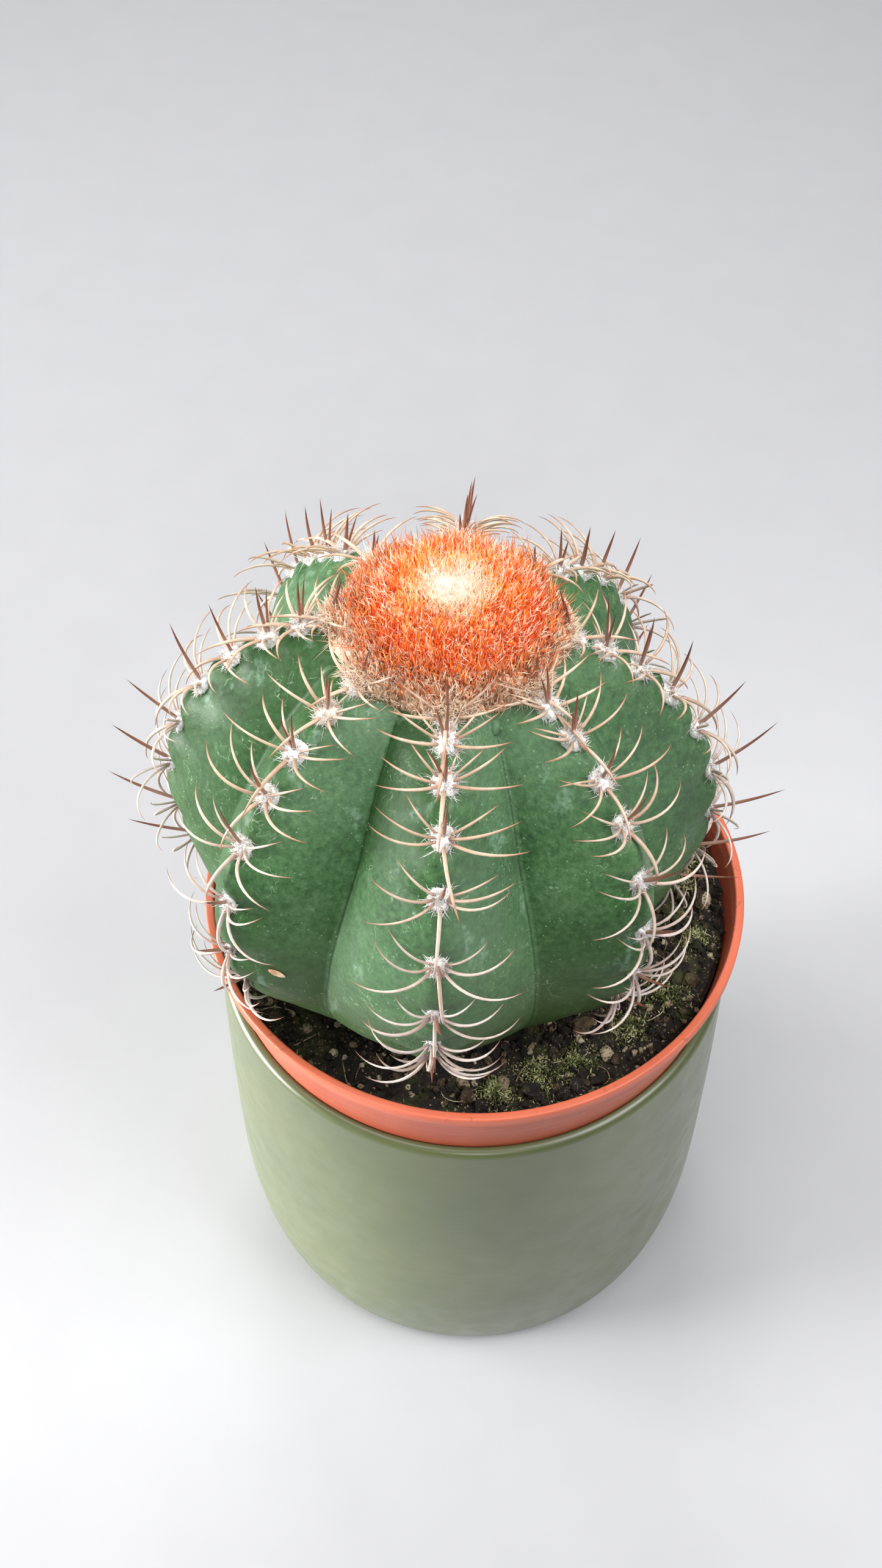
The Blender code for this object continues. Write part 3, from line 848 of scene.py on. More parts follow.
class Finish(Enum):
    """The finishes that pieces can take."""

    GLAZE = SageGlaze()
    TERRACOTTA = TerracottaPlastic()
    SOIL = PottingSoil()
    MOSS = MossGreen()
    GRIT = PaleGrit()
    SKIN = CactusSkin()
    SPINE = SpineHorn()
    WOOL = Fibre("white_wool", srgb(0.90, 0.87, 0.83), srgb(0.98, 0.97, 0.96), srgb(1.0, 1.0, 1.0),
                 srgb(0.86, 0.79, 0.70), srgb(1.0, 1.0, 1.0))
    TAN_WOOL = Fibre("tan_wool", srgb(0.82, 0.64, 0.48), srgb(0.95, 0.83, 0.69), srgb(0.99, 0.92, 0.82),
                     srgb(0.66, 0.41, 0.26), srgb(1.0, 0.96, 0.90))
    CAP_WOOL = Fibre("cap_wool", srgb(1.0, 0.68, 0.42), srgb(1.0, 0.84, 0.66), srgb(1.0, 0.92, 0.82),
                     srgb(1.0, 0.48, 0.18), srgb(1.0, 0.94, 0.88))
    BRISTLE = Fibre("cap_bristle", srgb(0.92, 0.32, 0.02), srgb(1.0, 0.43, 0.03), srgb(1.0, 0.57, 0.12),
                    srgb(0.82, 0.20, 0.01), srgb(1.0, 0.80, 0.46), 0.5, 0.2)
    OLD_BRISTLE = Fibre("old_bristle", srgb(0.93, 0.60, 0.38), srgb(0.90, 0.48, 0.26), srgb(0.76, 0.33, 0.16),
                        srgb(0.55, 0.27, 0.15), srgb(1.0, 0.58, 0.32), 0.55)

    @cache
    def material(self) -> bpy.types.Material:
        """The finish's material, made at its first use."""
        return self.value.build()


@dataclass(frozen=True)
class Seats:
    """Places on the ribs' crests: origins and unit axes across, up and out, all (n, 3)."""

    origin: Array
    across: Array
    up: Array
    out: Array
    rib: Array
    angle: Array

    def world(self, which: Array, points: Array) -> Array:
        """Carry points from the seats' frames to the world.

        Args:
            which: Seat number of each point set, (n,).
            points: Across, up and out coordinates, (n, samples, 3).

        Returns:
            World points of the same shape.
        """
        axes = np.stack([self.across[which], self.up[which], self.out[which]], axis=1)
        return self.origin[which][:, None] + np.einsum("nsk,nkj->nsj", points, axes)

    def frames(self) -> Array:
        """Matrices (n, 3, 3) whose columns are the seats' axes."""
        return np.stack([self.across, self.up, self.out], axis=-1)


@dataclass(frozen=True)
class PlantShape:
    """Curves of the ribbed body.

    Lengths without a unit are multiples of the nursery pot's inner rim radius, with heights from the
    rim's plane. Heights on the body are given as height angles: 0 at its middle, 90 degrees at its top.
    """

    rim: float = RIM
    rim_plane: float = RIM_PLANE
    soil: float = -0.12
    foot: Pair = (-0.156, -0.074)
    lean: Pair = (0.034, 0.030)
    turn: float = math.radians(-2.6)
    ribs: int = 8
    rib_turns: tuple[float, ...] = (1.6, 2.0, -0.9, 0.4, -3.6, -3.0, -0.8, 0.0)
    furrow_drift: tuple[float, ...] = (3.0, 0, 0, 0, 0, 0, 0, -4.2)
    crest_radius: float = 0.954
    crest_power: float = 0.81
    crest_middle: float = 0.593
    crest_up: float = 0.863
    crest_down: float = 0.88
    tuck: float = 0.25
    furrow_depth: float = 0.222
    furrow_span: Pair = (-50, 78)
    furrow_skew: float = 1.3
    furrow_tilt: Pair = (0.62, 0.15)
    sharpness: float = 0.13
    flank_belly: float = 0.07
    notch_depth: float = 1.1 * MM
    notch_width: float = math.radians(3.3)
    notch_reach: float = 0.26
    notch_span: Pair = (-40, 69)
    hump: float = 1.1 * MM
    # Height angles of the areoles, rib by rib from the front one round to the right
    areoles: tuple[tuple[float, ...], ...] = (
        (71, 65.6, 57.3, 46.0, 33.2, 16.9, 1.4, -12.2, -22),
        (71, 67.0, 59.4, 48.7, 37.7, 22.9, 7.6, -8.1, -20),
        (70, 62.7, 53.4, 42.9, 30.1, 15.6, 1.2, -12.8, -25),
        (71, 62.3, 53.5, 44.5, 31.1, 17.0, 3.0, -12, -24),
        (70, 63.5, 56.0, 47.5, 35.0, 20.0, 5.0, -10, -22),
        (70, 59.4, 52.0, 44.6, 33.6, 19.0, 3.5, -12, -24),
        (71, 65.0, 56.9, 46.6, 34.4, 19.8, 5.5, -8.9, -21),
        (71, 62.9, 52.4, 41.2, 27.8, 11.7, -4.6, -19),
    )

    def matrix(self) -> Array:
        """Rotation of the plant: turned about its axis, then leaned."""
        up = Vector((*self.lean, 1)).normalized()
        lean = Vector((0, 0, 1)).rotation_difference(up).to_matrix()
        return np.array(lean @ Matrix.Rotation(self.turn, 3, "Z"))

    def base(self) -> Array:
        """World place of the plant's axis at the soil."""
        x, y = self.foot
        return np.array([x * self.rim, y * self.rim, self.rim_plane + self.soil * self.rim])

    def world(self, points: Array) -> Array:
        """Carry points in multiples of the rim radius, height from the rim plane, to the world.

        Args:
            points: Points (..., 3) in the plant's own frame.

        Returns:
            World points in metres.
        """
        metres = (points - np.array([0, 0, self.soil])) * self.rim
        return metres @ self.matrix().T + self.base()

    def crest(self, t: Array) -> tuple[Array, Array]:
        """Radius and height of a crest: r = R cos(t)^p, z = middle + reach sin(t).

        Below its middle it is drawn in further, by tuck (1 - cos t).

        Args:
            t: Height angles.

        Returns:
            Radii and heights.
        """
        reach = np.where(t > 0, self.crest_up, self.crest_down)
        radius = self.crest_radius * np.maximum(np.cos(t), 1e-9) ** self.crest_power
        radius = radius - np.where(t < 0, self.tuck * (1 - np.cos(t)), 0)
        return radius, self.crest_middle + reach * np.sin(t)

    def furrow(self, t: Array) -> tuple[Array, Array]:
        """Radius and height of a furrow: the crest moved inward by depth sin(pi s^skew).

        Here s runs from 0 to 1 over the furrow's span of height angles, and the way inward tilts by a
        share of the height angle.

        Args:
            t: Height angles.

        Returns:
            Radii and heights.
        """
        radius, height = self.crest(t)
        lowest, highest = self.furrow_span
        share = np.clip((np.degrees(t) - lowest) / (highest - lowest), 0, 1)
        depth = self.furrow_depth * np.sin(math.pi * share**self.furrow_skew)
        slope = t * np.where(t > 0, *self.furrow_tilt)
        return radius - depth * np.cos(slope), height - depth * np.sin(slope)

    def rib_angle(self, rib: Array) -> Array:
        """Direction about the axis of a place counted in ribs from the front one.

        Args:
            rib: Rib numbers, fractions included.

        Returns:
            Angles in radians.
        """
        turns = np.radians(np.append(self.rib_turns, self.rib_turns[0]))
        offset = np.interp(np.mod(rib, self.ribs), np.arange(self.ribs + 1), turns)
        return TAU * rib / self.ribs - math.pi / 2 + offset

    def drift(self, rib: Array) -> Array:
        """How far each furrow moves round towards the foot, in radians; crests stay put."""
        furrow = np.floor(rib).astype(int) % self.ribs
        return np.radians(self.furrow_drift)[furrow] * np.sin(math.pi * np.mod(rib, 1)) ** 2

    def notches(self, t: Array) -> Array:
        """How deep each crest is notched by its areoles: a bell curve about each height angle.

        Args:
            t: Height angles.

        Returns:
            Depths from 0 to 1, (len(t), ribs).
        """
        table = []
        for angles in self.areoles:
            gap = (t[:, None] - np.radians(angles)) / self.notch_width
            table.append(np.exp(-(gap**2)).max(axis=1))
        return np.stack(table, axis=1)

    def skin(self, rib: Array, t: Array) -> tuple[Array, Array]:
        """The ribbed surface over rib position and height angle.

        Between furrow and crest it rises as a hyperbola in x, the distance from the crest: straight
        flanks that round over in a narrow crest, notched at every areole.

        Args:
            rib: Rib positions (columns,).
            t: Height angles (rows,).

        Returns:
            World points (rows, columns, 3) and the rise from 0 in a furrow to 1 on a crest.
        """
        nearest = np.round(rib)
        x = 2 * np.abs(rib - nearest)[None]
        w = self.sharpness
        rise = 1 - (np.sqrt(x**2 + w * w) - w) / (math.sqrt(1 + w * w) - w)
        rise = rise + self.flank_belly * rise * (1 - rise)
        (crest_r, crest_z), (furrow_r, furrow_z) = self.crest(t), self.furrow(t)
        radius = furrow_r[:, None] + (crest_r - furrow_r)[:, None] * rise
        height = furrow_z[:, None] + (crest_z - furrow_z)[:, None] * rise
        notch = self.notches(t)[:, nearest.astype(int) % self.ribs]
        lowest, highest = np.radians(self.notch_span)
        fade = np.clip((highest - t) / 0.15, 0, 1) * np.clip((t - lowest) / 0.3, 0, 1)
        cut = (self.hump - (self.hump + self.notch_depth) * notch) * np.exp(-((x / self.notch_reach) ** 2))
        cut = cut * fade[:, None] / self.rim
        slope = np.arctan2(np.sin(t) * 1.05, np.cos(t))[:, None]
        radius = radius + cut * np.cos(slope)
        height = height + cut * np.sin(slope)
        low = np.clip((math.radians(30) - t) / math.radians(50), 0, 1)[:, None]
        angle = self.rib_angle(rib)[None] + low * self.drift(rib)[None]
        points = np.stack([radius * np.cos(angle), radius * np.sin(angle), height], -1)
        return self.world(points), np.broadcast_to(rise, radius.shape)

    def seats(self, ribs: Sequence[int], angles: Sequence[float]) -> Seats:
        """Seats on the crests at given ribs and height angles in degrees.

        Args:
            ribs: Rib numbers.
            angles: Height angles in degrees.

        Returns:
            The seats, sunk to the bottom of the notches.
        """
        rib, t = np.array(ribs), np.radians(angles)
        below, above, middle = self.crest(t - 0.01), self.crest(t + 0.01), self.crest(t)
        turn = self.rib_angle(rib)
        radial = np.stack([np.cos(turn), np.sin(turn), 0 * turn], -1)
        rise = (above[0] - below[0])[:, None] * radial + (above[1] - below[1])[:, None] * UPWARD
        up = unit(rise) @ self.matrix().T
        origin = self.world(middle[0][:, None] * radial + middle[1][:, None] * UPWARD)
        side = unit(np.cross(UPWARD, radial)) @ self.matrix().T
        out = np.cross(side, up)
        return Seats(origin - out * 0.6 * self.notch_depth, side, up, out, rib, np.degrees(t))

    def all_seats(self) -> Seats:
        """Seats of every areole, rib by rib from the top down."""
        ribs = [rib for rib, angles in enumerate(self.areoles) for _ in angles]
        return self.seats(ribs, [angle for angles in self.areoles for angle in angles])


SHAPE = PlantShape()


@dataclass
class CoverPot:
    """The glazed cover pot: straight side, slight belly, foot curved in to a flat underside."""

    height: float = COVER_TOP
    mouth: float = 63.5 * MM
    belly: float = COVER_BELLY
    foot: float = 58.1 * MM
    belly_height: float = 41 * MM
    mouth_inner: float = 60.9 * MM
    wall: float = 3.6 * MM
    floor: float = 5.5 * MM
    floor_round: float = 4 * MM
    lip: float = 2.1 * MM
    inner_lip: float = 0.5 * MM
    throat: float = 12 * MM
    middle: float = 6 * MM
    columns: int = 160

    def profile(self) -> list[Pair]:
        """Radius and height from the underside's middle, up the outside and down the inside.

        The foot is a quarter ellipse up to the belly, the side above it a parabola in to the mouth, and
        the lip two arcs.
        """
        points = [(self.middle, 0.0), (self.foot - 12 * MM, 0.0), (self.foot - 1.6 * MM, 0.0)]
        tuck = self.belly - self.foot
        points += arc((self.foot, self.belly_height), (tuck, -self.belly_height), 78, 0, 30)
        lip_foot = self.height - self.lip
        for u in np.linspace(0.04, 1, 30):
            radius = self.mouth + (self.belly - self.mouth) * (1 - u * u)
            points.append((radius, self.belly_height + (lip_foot - self.belly_height) * u))
        points += arc((self.mouth - self.lip, lip_foot), (self.lip, self.lip), 5, 88, 14)
        curl = self.inner_lip
        points += arc((self.mouth_inner + curl, self.height - curl), (curl, curl), 92, 180, 6)
        points += [(self.mouth_inner, self.height - self.throat), (self.belly - self.wall, self.belly_height)]
        inner_foot = self.foot - self.wall
        points += [(inner_foot, self.floor + self.floor_round), (inner_foot - self.floor_round, self.floor)]
        return points + [(self.middle, self.floor)]

    def build(self) -> bpy.types.Object:
        """Build and dress the pot."""
        piece = turned(self.profile(), self.columns).dressed("glazed_cover_pot", Finish.GLAZE.material())
        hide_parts("cover_pot")
        return piece


@dataclass
class NurseryPot:
    """The plastic pot: a deep rim band with a rounded lip over a tapered, drained wall."""

    rim: float = RIM
    outer: float = RIM_OUTER
    plane: float = RIM_PLANE
    band: float = 24 * MM
    band_foot: float = 60.2 * MM
    band_wall: float = 1.4 * MM
    wall_top: float = 58.3 * MM
    wall_foot: float = 46.0 * MM
    wall: float = 1.2 * MM
    base: float = NURSERY_FOOT
    floor: float = 2.0 * MM
    lip: float = 0.55 * MM
    lip_step: float = 1.1 * MM
    lip_drop: float = 3.3 * MM
    middle: float = 5 * MM
    holes: int = 6
    hole: float = 4.5 * MM
    hole_circle: float = 32 * MM
    columns: int = 160

    def profile(self) -> list[Pair]:
        """Radius and height from the underside's middle, up the outside and down the inside.

        The wall and the band are straight and open upward; the lip steps out and is two quarter rounds.
        """
        low, under = self.plane - self.band, self.plane - self.lip_drop
        points = [(self.middle, self.base), (self.wall_foot - 2 * MM, self.base)]
        points += [(self.wall_foot, self.base + 2 * MM), (self.wall_top, low - 0.8 * MM)]
        points += [(self.band_foot - 0.3 * MM, low), (self.band_foot, low + 0.3 * MM)]
        widening = self.outer - self.lip_step - self.band_foot
        points += [(self.band_foot + widening * u, low + (under - low) * u) for u in np.linspace(0.03, 1, 14)]
        points += [(self.outer - 0.25 * MM, under + 0.1 * MM), (self.outer, under + 0.45 * MM)]
        for centre, start in ((self.outer - self.lip, 0), (self.rim + self.lip, 90)):
            points += arc((centre, self.plane - self.lip), (self.lip, self.lip), start, start + 90, 7)
        inner = self.band_foot - self.band_wall
        widening = self.rim - inner
        for u in np.linspace(0.95, 0, 10):
            points.append((inner + widening * u, low + 1 * MM + (self.band - 2 * MM) * u))
        top = self.base + self.floor
        points += [(self.wall_top - self.wall, low - 2 * MM), (self.wall_foot - self.wall, top)]
        return points + [(self.middle, top)]

    def drills(self) -> Surface:
        """Closed cylinders through the floor, in a ring."""
        drill = turned([(self.hole, -2 * MM), (self.hole, self.floor + 3 * MM)], 24)
        angle = TAU * np.arange(self.holes) / self.holes
        spots = [self.hole_circle * np.cos(angle), self.hole_circle * np.sin(angle), self.base + 0 * angle]
        return stamped(drill, np.repeat(np.eye(3)[None], self.holes, axis=0), np.stack(spots, -1), {})

    def build(self) -> bpy.types.Object:
        """Build and dress the pot, with its ring of drain holes cut through the floor."""
        shape = turned(self.profile(), self.columns)
        piece = shape.dressed("plastic_nursery_pot", Finish.TERRACOTTA.material())
        self.drain(piece, self.drills())
        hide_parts("nursery_pot")
        return piece

    def drain(self, piece: bpy.types.Object, drills: Surface) -> None:
        """Cut the drills out of the pot.

        Args:
            piece: The pot.
            drills: What is cut out.
        """
        mesh = bpy.data.meshes.new("drills")
        faces = [list(map(int, face)) for group in drills.faces for face in group]
        mesh.from_pydata(drills.points.tolist(), [], faces)
        cutter = placed("drills", mesh)
        cut = piece.modifiers.new("Drain holes", "BOOLEAN")
        cut.object = cutter
        graph = bpy.context.evaluated_depsgraph_get()
        drained = bpy.data.meshes.new_from_object(piece.evaluated_get(graph))
        piece.modifiers.clear()
        piece.data = drained
        bpy.data.objects.remove(cutter)


@dataclass
class SoilBed:
    """The root ball's uneven top with its crumbs, moss, grit, bark and root fibres."""

    edge: float = 61.0 * MM
    swell: float = 1.5 * MM
    side: tuple[Pair, ...] = (
        (20 * MM, 8.2 * MM), (44 * MM, 8.2 * MM), (56.2 * MM, 112.6 * MM), (57.4 * MM, 117 * MM),
    )
    columns: int = 200
    rings: int = 70
    stem_clearance: float = 0.56
    crumbs: int = 4200
    specks: int = 2600
    clods: int = 360
    leaflets: int = 5200
    stray_leaflets: int = 1700
    loose_grit: int = 130
    root_fibres: int = 70
    # Places in multiples of the rim radius, then the spread or the half size in millimetres
    cushions: tuple[Triple, ...] = (
        (0.80, 0.06, 5.5), (0.86, 0.20, 4.5), (0.70, -0.44, 6.5), (0.56, -0.60, 4.5), (0.22, -0.80, 6.5),
        (0.36, -0.74, 5.0), (0.06, -0.86, 4.5), (0.84, -0.20, 4.0), (0.62, 0.55, 5.0),
    )
    stones: tuple[Triple, ...] = (
        (-0.05, -0.82, 2.0), (-0.52, -0.70, 1.8), (0.09, -0.83, 1.9), (0.47, -0.71, 2.3), (-0.62, -0.60, 1.6),
        (0.72, -0.36, 1.9), (0.90, -0.02, 1.7),
    )
    seed: int = 5

    def level(self, x: Array, y: Array) -> Array:
        """Height of the soil at places on it.

        Args:
            x: World x.
            y: World y.

        Returns:
            World heights: the level plus rough noise, a little higher towards the wall.
        """
        spots = np.stack([x, y, 0 * x], -1)
        rise = np.clip(np.hypot(x, y) / self.edge, 0, 1) ** 6 * 0.5 * MM
        base = SHAPE.rim_plane + SHAPE.soil * SHAPE.rim
        return base - 0.4 * MM + self.swell * rough_noise(spots, 9 * MM, 4, self.seed) + rise

    def bed(self) -> Surface:
        """The closed root ball: its floor, its side, then rings across the noisy top."""
        angle = TAU * np.arange(self.columns) / self.columns
        base = SHAPE.rim_plane + SHAPE.soil * SHAPE.rim
        rows = [np.stack([r * np.cos(angle), r * np.sin(angle), z + 0 * angle], -1) for r, z in self.side]
        for r in np.linspace(self.edge, 4 * MM, self.rings):
            x, y = r * np.cos(angle), r * np.sin(angle)
            rows.append(np.stack([x, y, self.level(x, y)], -1))
        grid = np.array(rows)
        grid[len(self.side), :, 2] = base - 0.5 * MM
        tone = 0.25 + 0.3 * rough_noise(grid.reshape(-1, 3), 5 * MM, 4, 77).reshape(grid.shape[:2])
        return ringed(grid, {"tone": np.clip(tone, 0.02, 0.7)})

    def spots(self, dice: np.random.Generator, count: int, clear: float = 0.0) -> Array:
        """Random places on the open soil, away from the stem and the pot's wall.

        Args:
            dice: Source of the places.
            count: How many to draw, before those under the stem are dropped.
            clear: Distance kept from the wall.

        Returns:
            World x and y, (n, 2).
        """
        angle, radius = dice.uniform(0, TAU, count), np.sqrt(dice.uniform(0, 1, count))
        reach = self.edge - clear
        xy = np.stack([radius * np.cos(angle), radius * np.sin(angle)], -1) * reach
        axis = np.array(SHAPE.foot) * SHAPE.rim
        return xy[np.hypot(*(xy - axis).T) > self.stem_clearance * SHAPE.rim]

    def lumps(self, dice: np.random.Generator, xy: Array, size: Array, flat: float, tone: Array,
              shape: Surface, jag: float) -> Surface:
        """Irregular lumps lying on the soil.

        Args:
            dice: Source of their turns.
            xy: Where they lie, (n, 2).
            size: Half sizes in metres, (n,).
            flat: How much their shortest axis is squashed.
            tone: Tone of each.
            shape: The ball they start from.
            jag: Strength of the noise on them, as a share of their size.

        Returns:
            The lumps as one surface.
        """
        scales = size[:, None] * dice.uniform(0.65, 1.15, (len(xy), 3)) * np.array([1, 1, flat])
        z = self.level(*xy.T) + size * dice.uniform(-0.1, 0.75, len(xy))
        origins = np.column_stack([xy, z])
        lumps = stamped(shape, random_frames(dice, scales), origins, {"tone": tone, "size": size})
        push = rough_noise(lumps.points, 1.3 * MM, 2, 9)[:, None] * lumps.values.pop("size")[:, None] * jag
        centre = np.repeat(origins, len(shape.points), axis=0)
        lumps.points += unit(lumps.points - centre) * push
        return lumps

    def moss(self, dice: np.random.Generator) -> Surface:
        """Cushions of short upright leaflets, thick where moss grows and thin between.

        Args:
            dice: Source of their places and sizes.

        Returns:
            The leaflets as one surface.
        """
        table = np.array(self.cushions)
        centres, spread = table[:, :2] * SHAPE.rim, table[:, 2] * MM
        which = dice.integers(0, len(centres), self.leaflets)
        xy = centres[which] + dice.normal(size=(self.leaflets, 2)) * spread[which][:, None] * 0.5
        xy = np.concatenate([xy, self.spots(dice, self.stray_leaflets)])
        xy = xy[np.hypot(*xy.T) < self.edge - 0.8 * MM]
        mound = np.zeros(len(xy))
        for centre, width in zip(centres, spread):
            mound = np.maximum(mound, np.exp(-np.sum((xy - centre) ** 2, axis=1) / (width * 0.62) ** 2))
        clump = lattice_noise(np.column_stack([xy, 0 * mound]), 2.2 * MM, 3)
        z = self.level(*xy.T) + (2.0 * mound + 0.6 * clump * mound - 0.1) * MM
        heads = unit(dice.normal(size=(len(xy), 3)) * 0.55 + UPWARD)
        lengths = dice.uniform(0.5, 1.3, len(xy)) * MM
        tone = np.clip(0.5 + 0.35 * clump + dice.normal(0, 0.26, len(xy)), 0, 1)
        sway = dice.normal(size=(len(xy), 3)) * 0.25
        radii = dice.uniform(0.14, 0.24, len(xy)) * MM
        return curled(np.column_stack([xy, z]), heads, lengths, sway, 3, radii, {"tone": tone}).surface(3)

    def roots(self, dice: np.random.Generator) -> Surface:
        """Thin root and coir fibres curling over the soil: running sums of a heading that drifts.

        Args:
            dice: Source of their places and bends.

        Returns:
            The fibres as one surface.
        """
        xy = self.spots(dice, 160, 6 * MM)[:self.root_fibres]
        heading = dice.uniform(0, TAU, len(xy))
        way = np.linspace(0, 1, 9)
        bend = heading[:, None] + dice.normal(0, 2.2, len(xy))[:, None] * way
        step = dice.uniform(4, 11, len(xy))[:, None] * MM / (len(way) - 1)
        x = xy[:, :1] + np.cumsum(step * np.cos(bend), axis=1)
        y = xy[:, 1:] + np.cumsum(step * np.sin(bend), axis=1)
        inside = np.minimum(1, (self.edge - 1 * MM) / np.hypot(x, y))
        x, y = x * inside, y * inside
        z = self.level(x.ravel(), y.ravel()).reshape(x.shape)
        z = z + (0.5 + 1.6 * np.sin(math.pi * way) * dice.uniform(0, 1, len(xy))[:, None]) * MM
        radii = np.full(x.shape, 0.13 * MM)
        tone = dice.uniform(0.3, 1.0, len(xy))
        return Strands(np.stack([x, y, z], -1), radii, {"tone": tone}).surface(4)

    def crumble(self, dice: np.random.Generator) -> list[Surface]:
        """Crumbs, pale specks and flat clods over the whole of the open soil.

        Args:
            dice: Source of their places and sizes.

        Returns:
            The three kinds, each as one surface.
        """
        xy = self.spots(dice, self.crumbs)
        size = dice.uniform(0.45, 1.2, len(xy)) ** 2 * MM
        tone = np.clip(dice.beta(0.6, 1.3, len(xy)) * 1.1, 0, 1)
        crumbs = self.lumps(dice, xy, size, 0.8, tone, ball(2, 5), 0.5)
        xy = self.spots(dice, self.specks)
        size = dice.uniform(0.2, 0.5, len(xy)) * MM
        specks = self.lumps(dice, xy, size, 0.8, dice.uniform(0.55, 1, len(xy)), ball(2, 4), 0.4)
        xy = self.spots(dice, self.clods, 2.2 * MM)
        size = dice.uniform(1.1, 2.5, len(xy)) * MM
        clods = self.lumps(dice, xy, size, 0.65, dice.beta(1.2, 3.0, len(xy)), ball(4, 8), 0.75)
        return [crumbs, specks, clods]

    def grit(self, dice: np.random.Generator) -> Surface:
        """Pumice stones in their places, and loose grains anywhere.

        Args:
            dice: Source of the grains.

        Returns:
            Stones and grains as one surface.
        """
        stones = np.array(self.stones)
        xy = np.concatenate([stones[:, :2] * SHAPE.rim, self.spots(dice, self.loose_grit, 3 * MM)])
        size = np.concatenate([stones[:, 2], dice.uniform(0.45, 1.1, len(xy) - len(stones))]) * MM
        return self.lumps(dice, xy, size, 0.75, dice.uniform(0.2, 1, len(xy)), ball(6, 10), 0.35)

    def build(self) -> list[bpy.types.Object]:
        """Build and dress the soil and everything that lies on it."""
        dice = np.random.default_rng(self.seed)
        mix = Surface.joined([self.bed(), *self.crumble(dice)])
        soil = mix.dressed("potting_mix", Finish.SOIL.material(), smooth=False)
        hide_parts("soil")
        moss = self.moss(dice).dressed("moss_leaflets", Finish.MOSS.material())
        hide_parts("moss_1", "moss_2", "moss_3")
        grit = Surface.joined([self.grit(dice), self.roots(dice)])
        stones = grit.dressed("grit_and_fibres", Finish.GRIT.material())
        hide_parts("pumice_1", "pumice_2")
        return [soil, moss, stones]


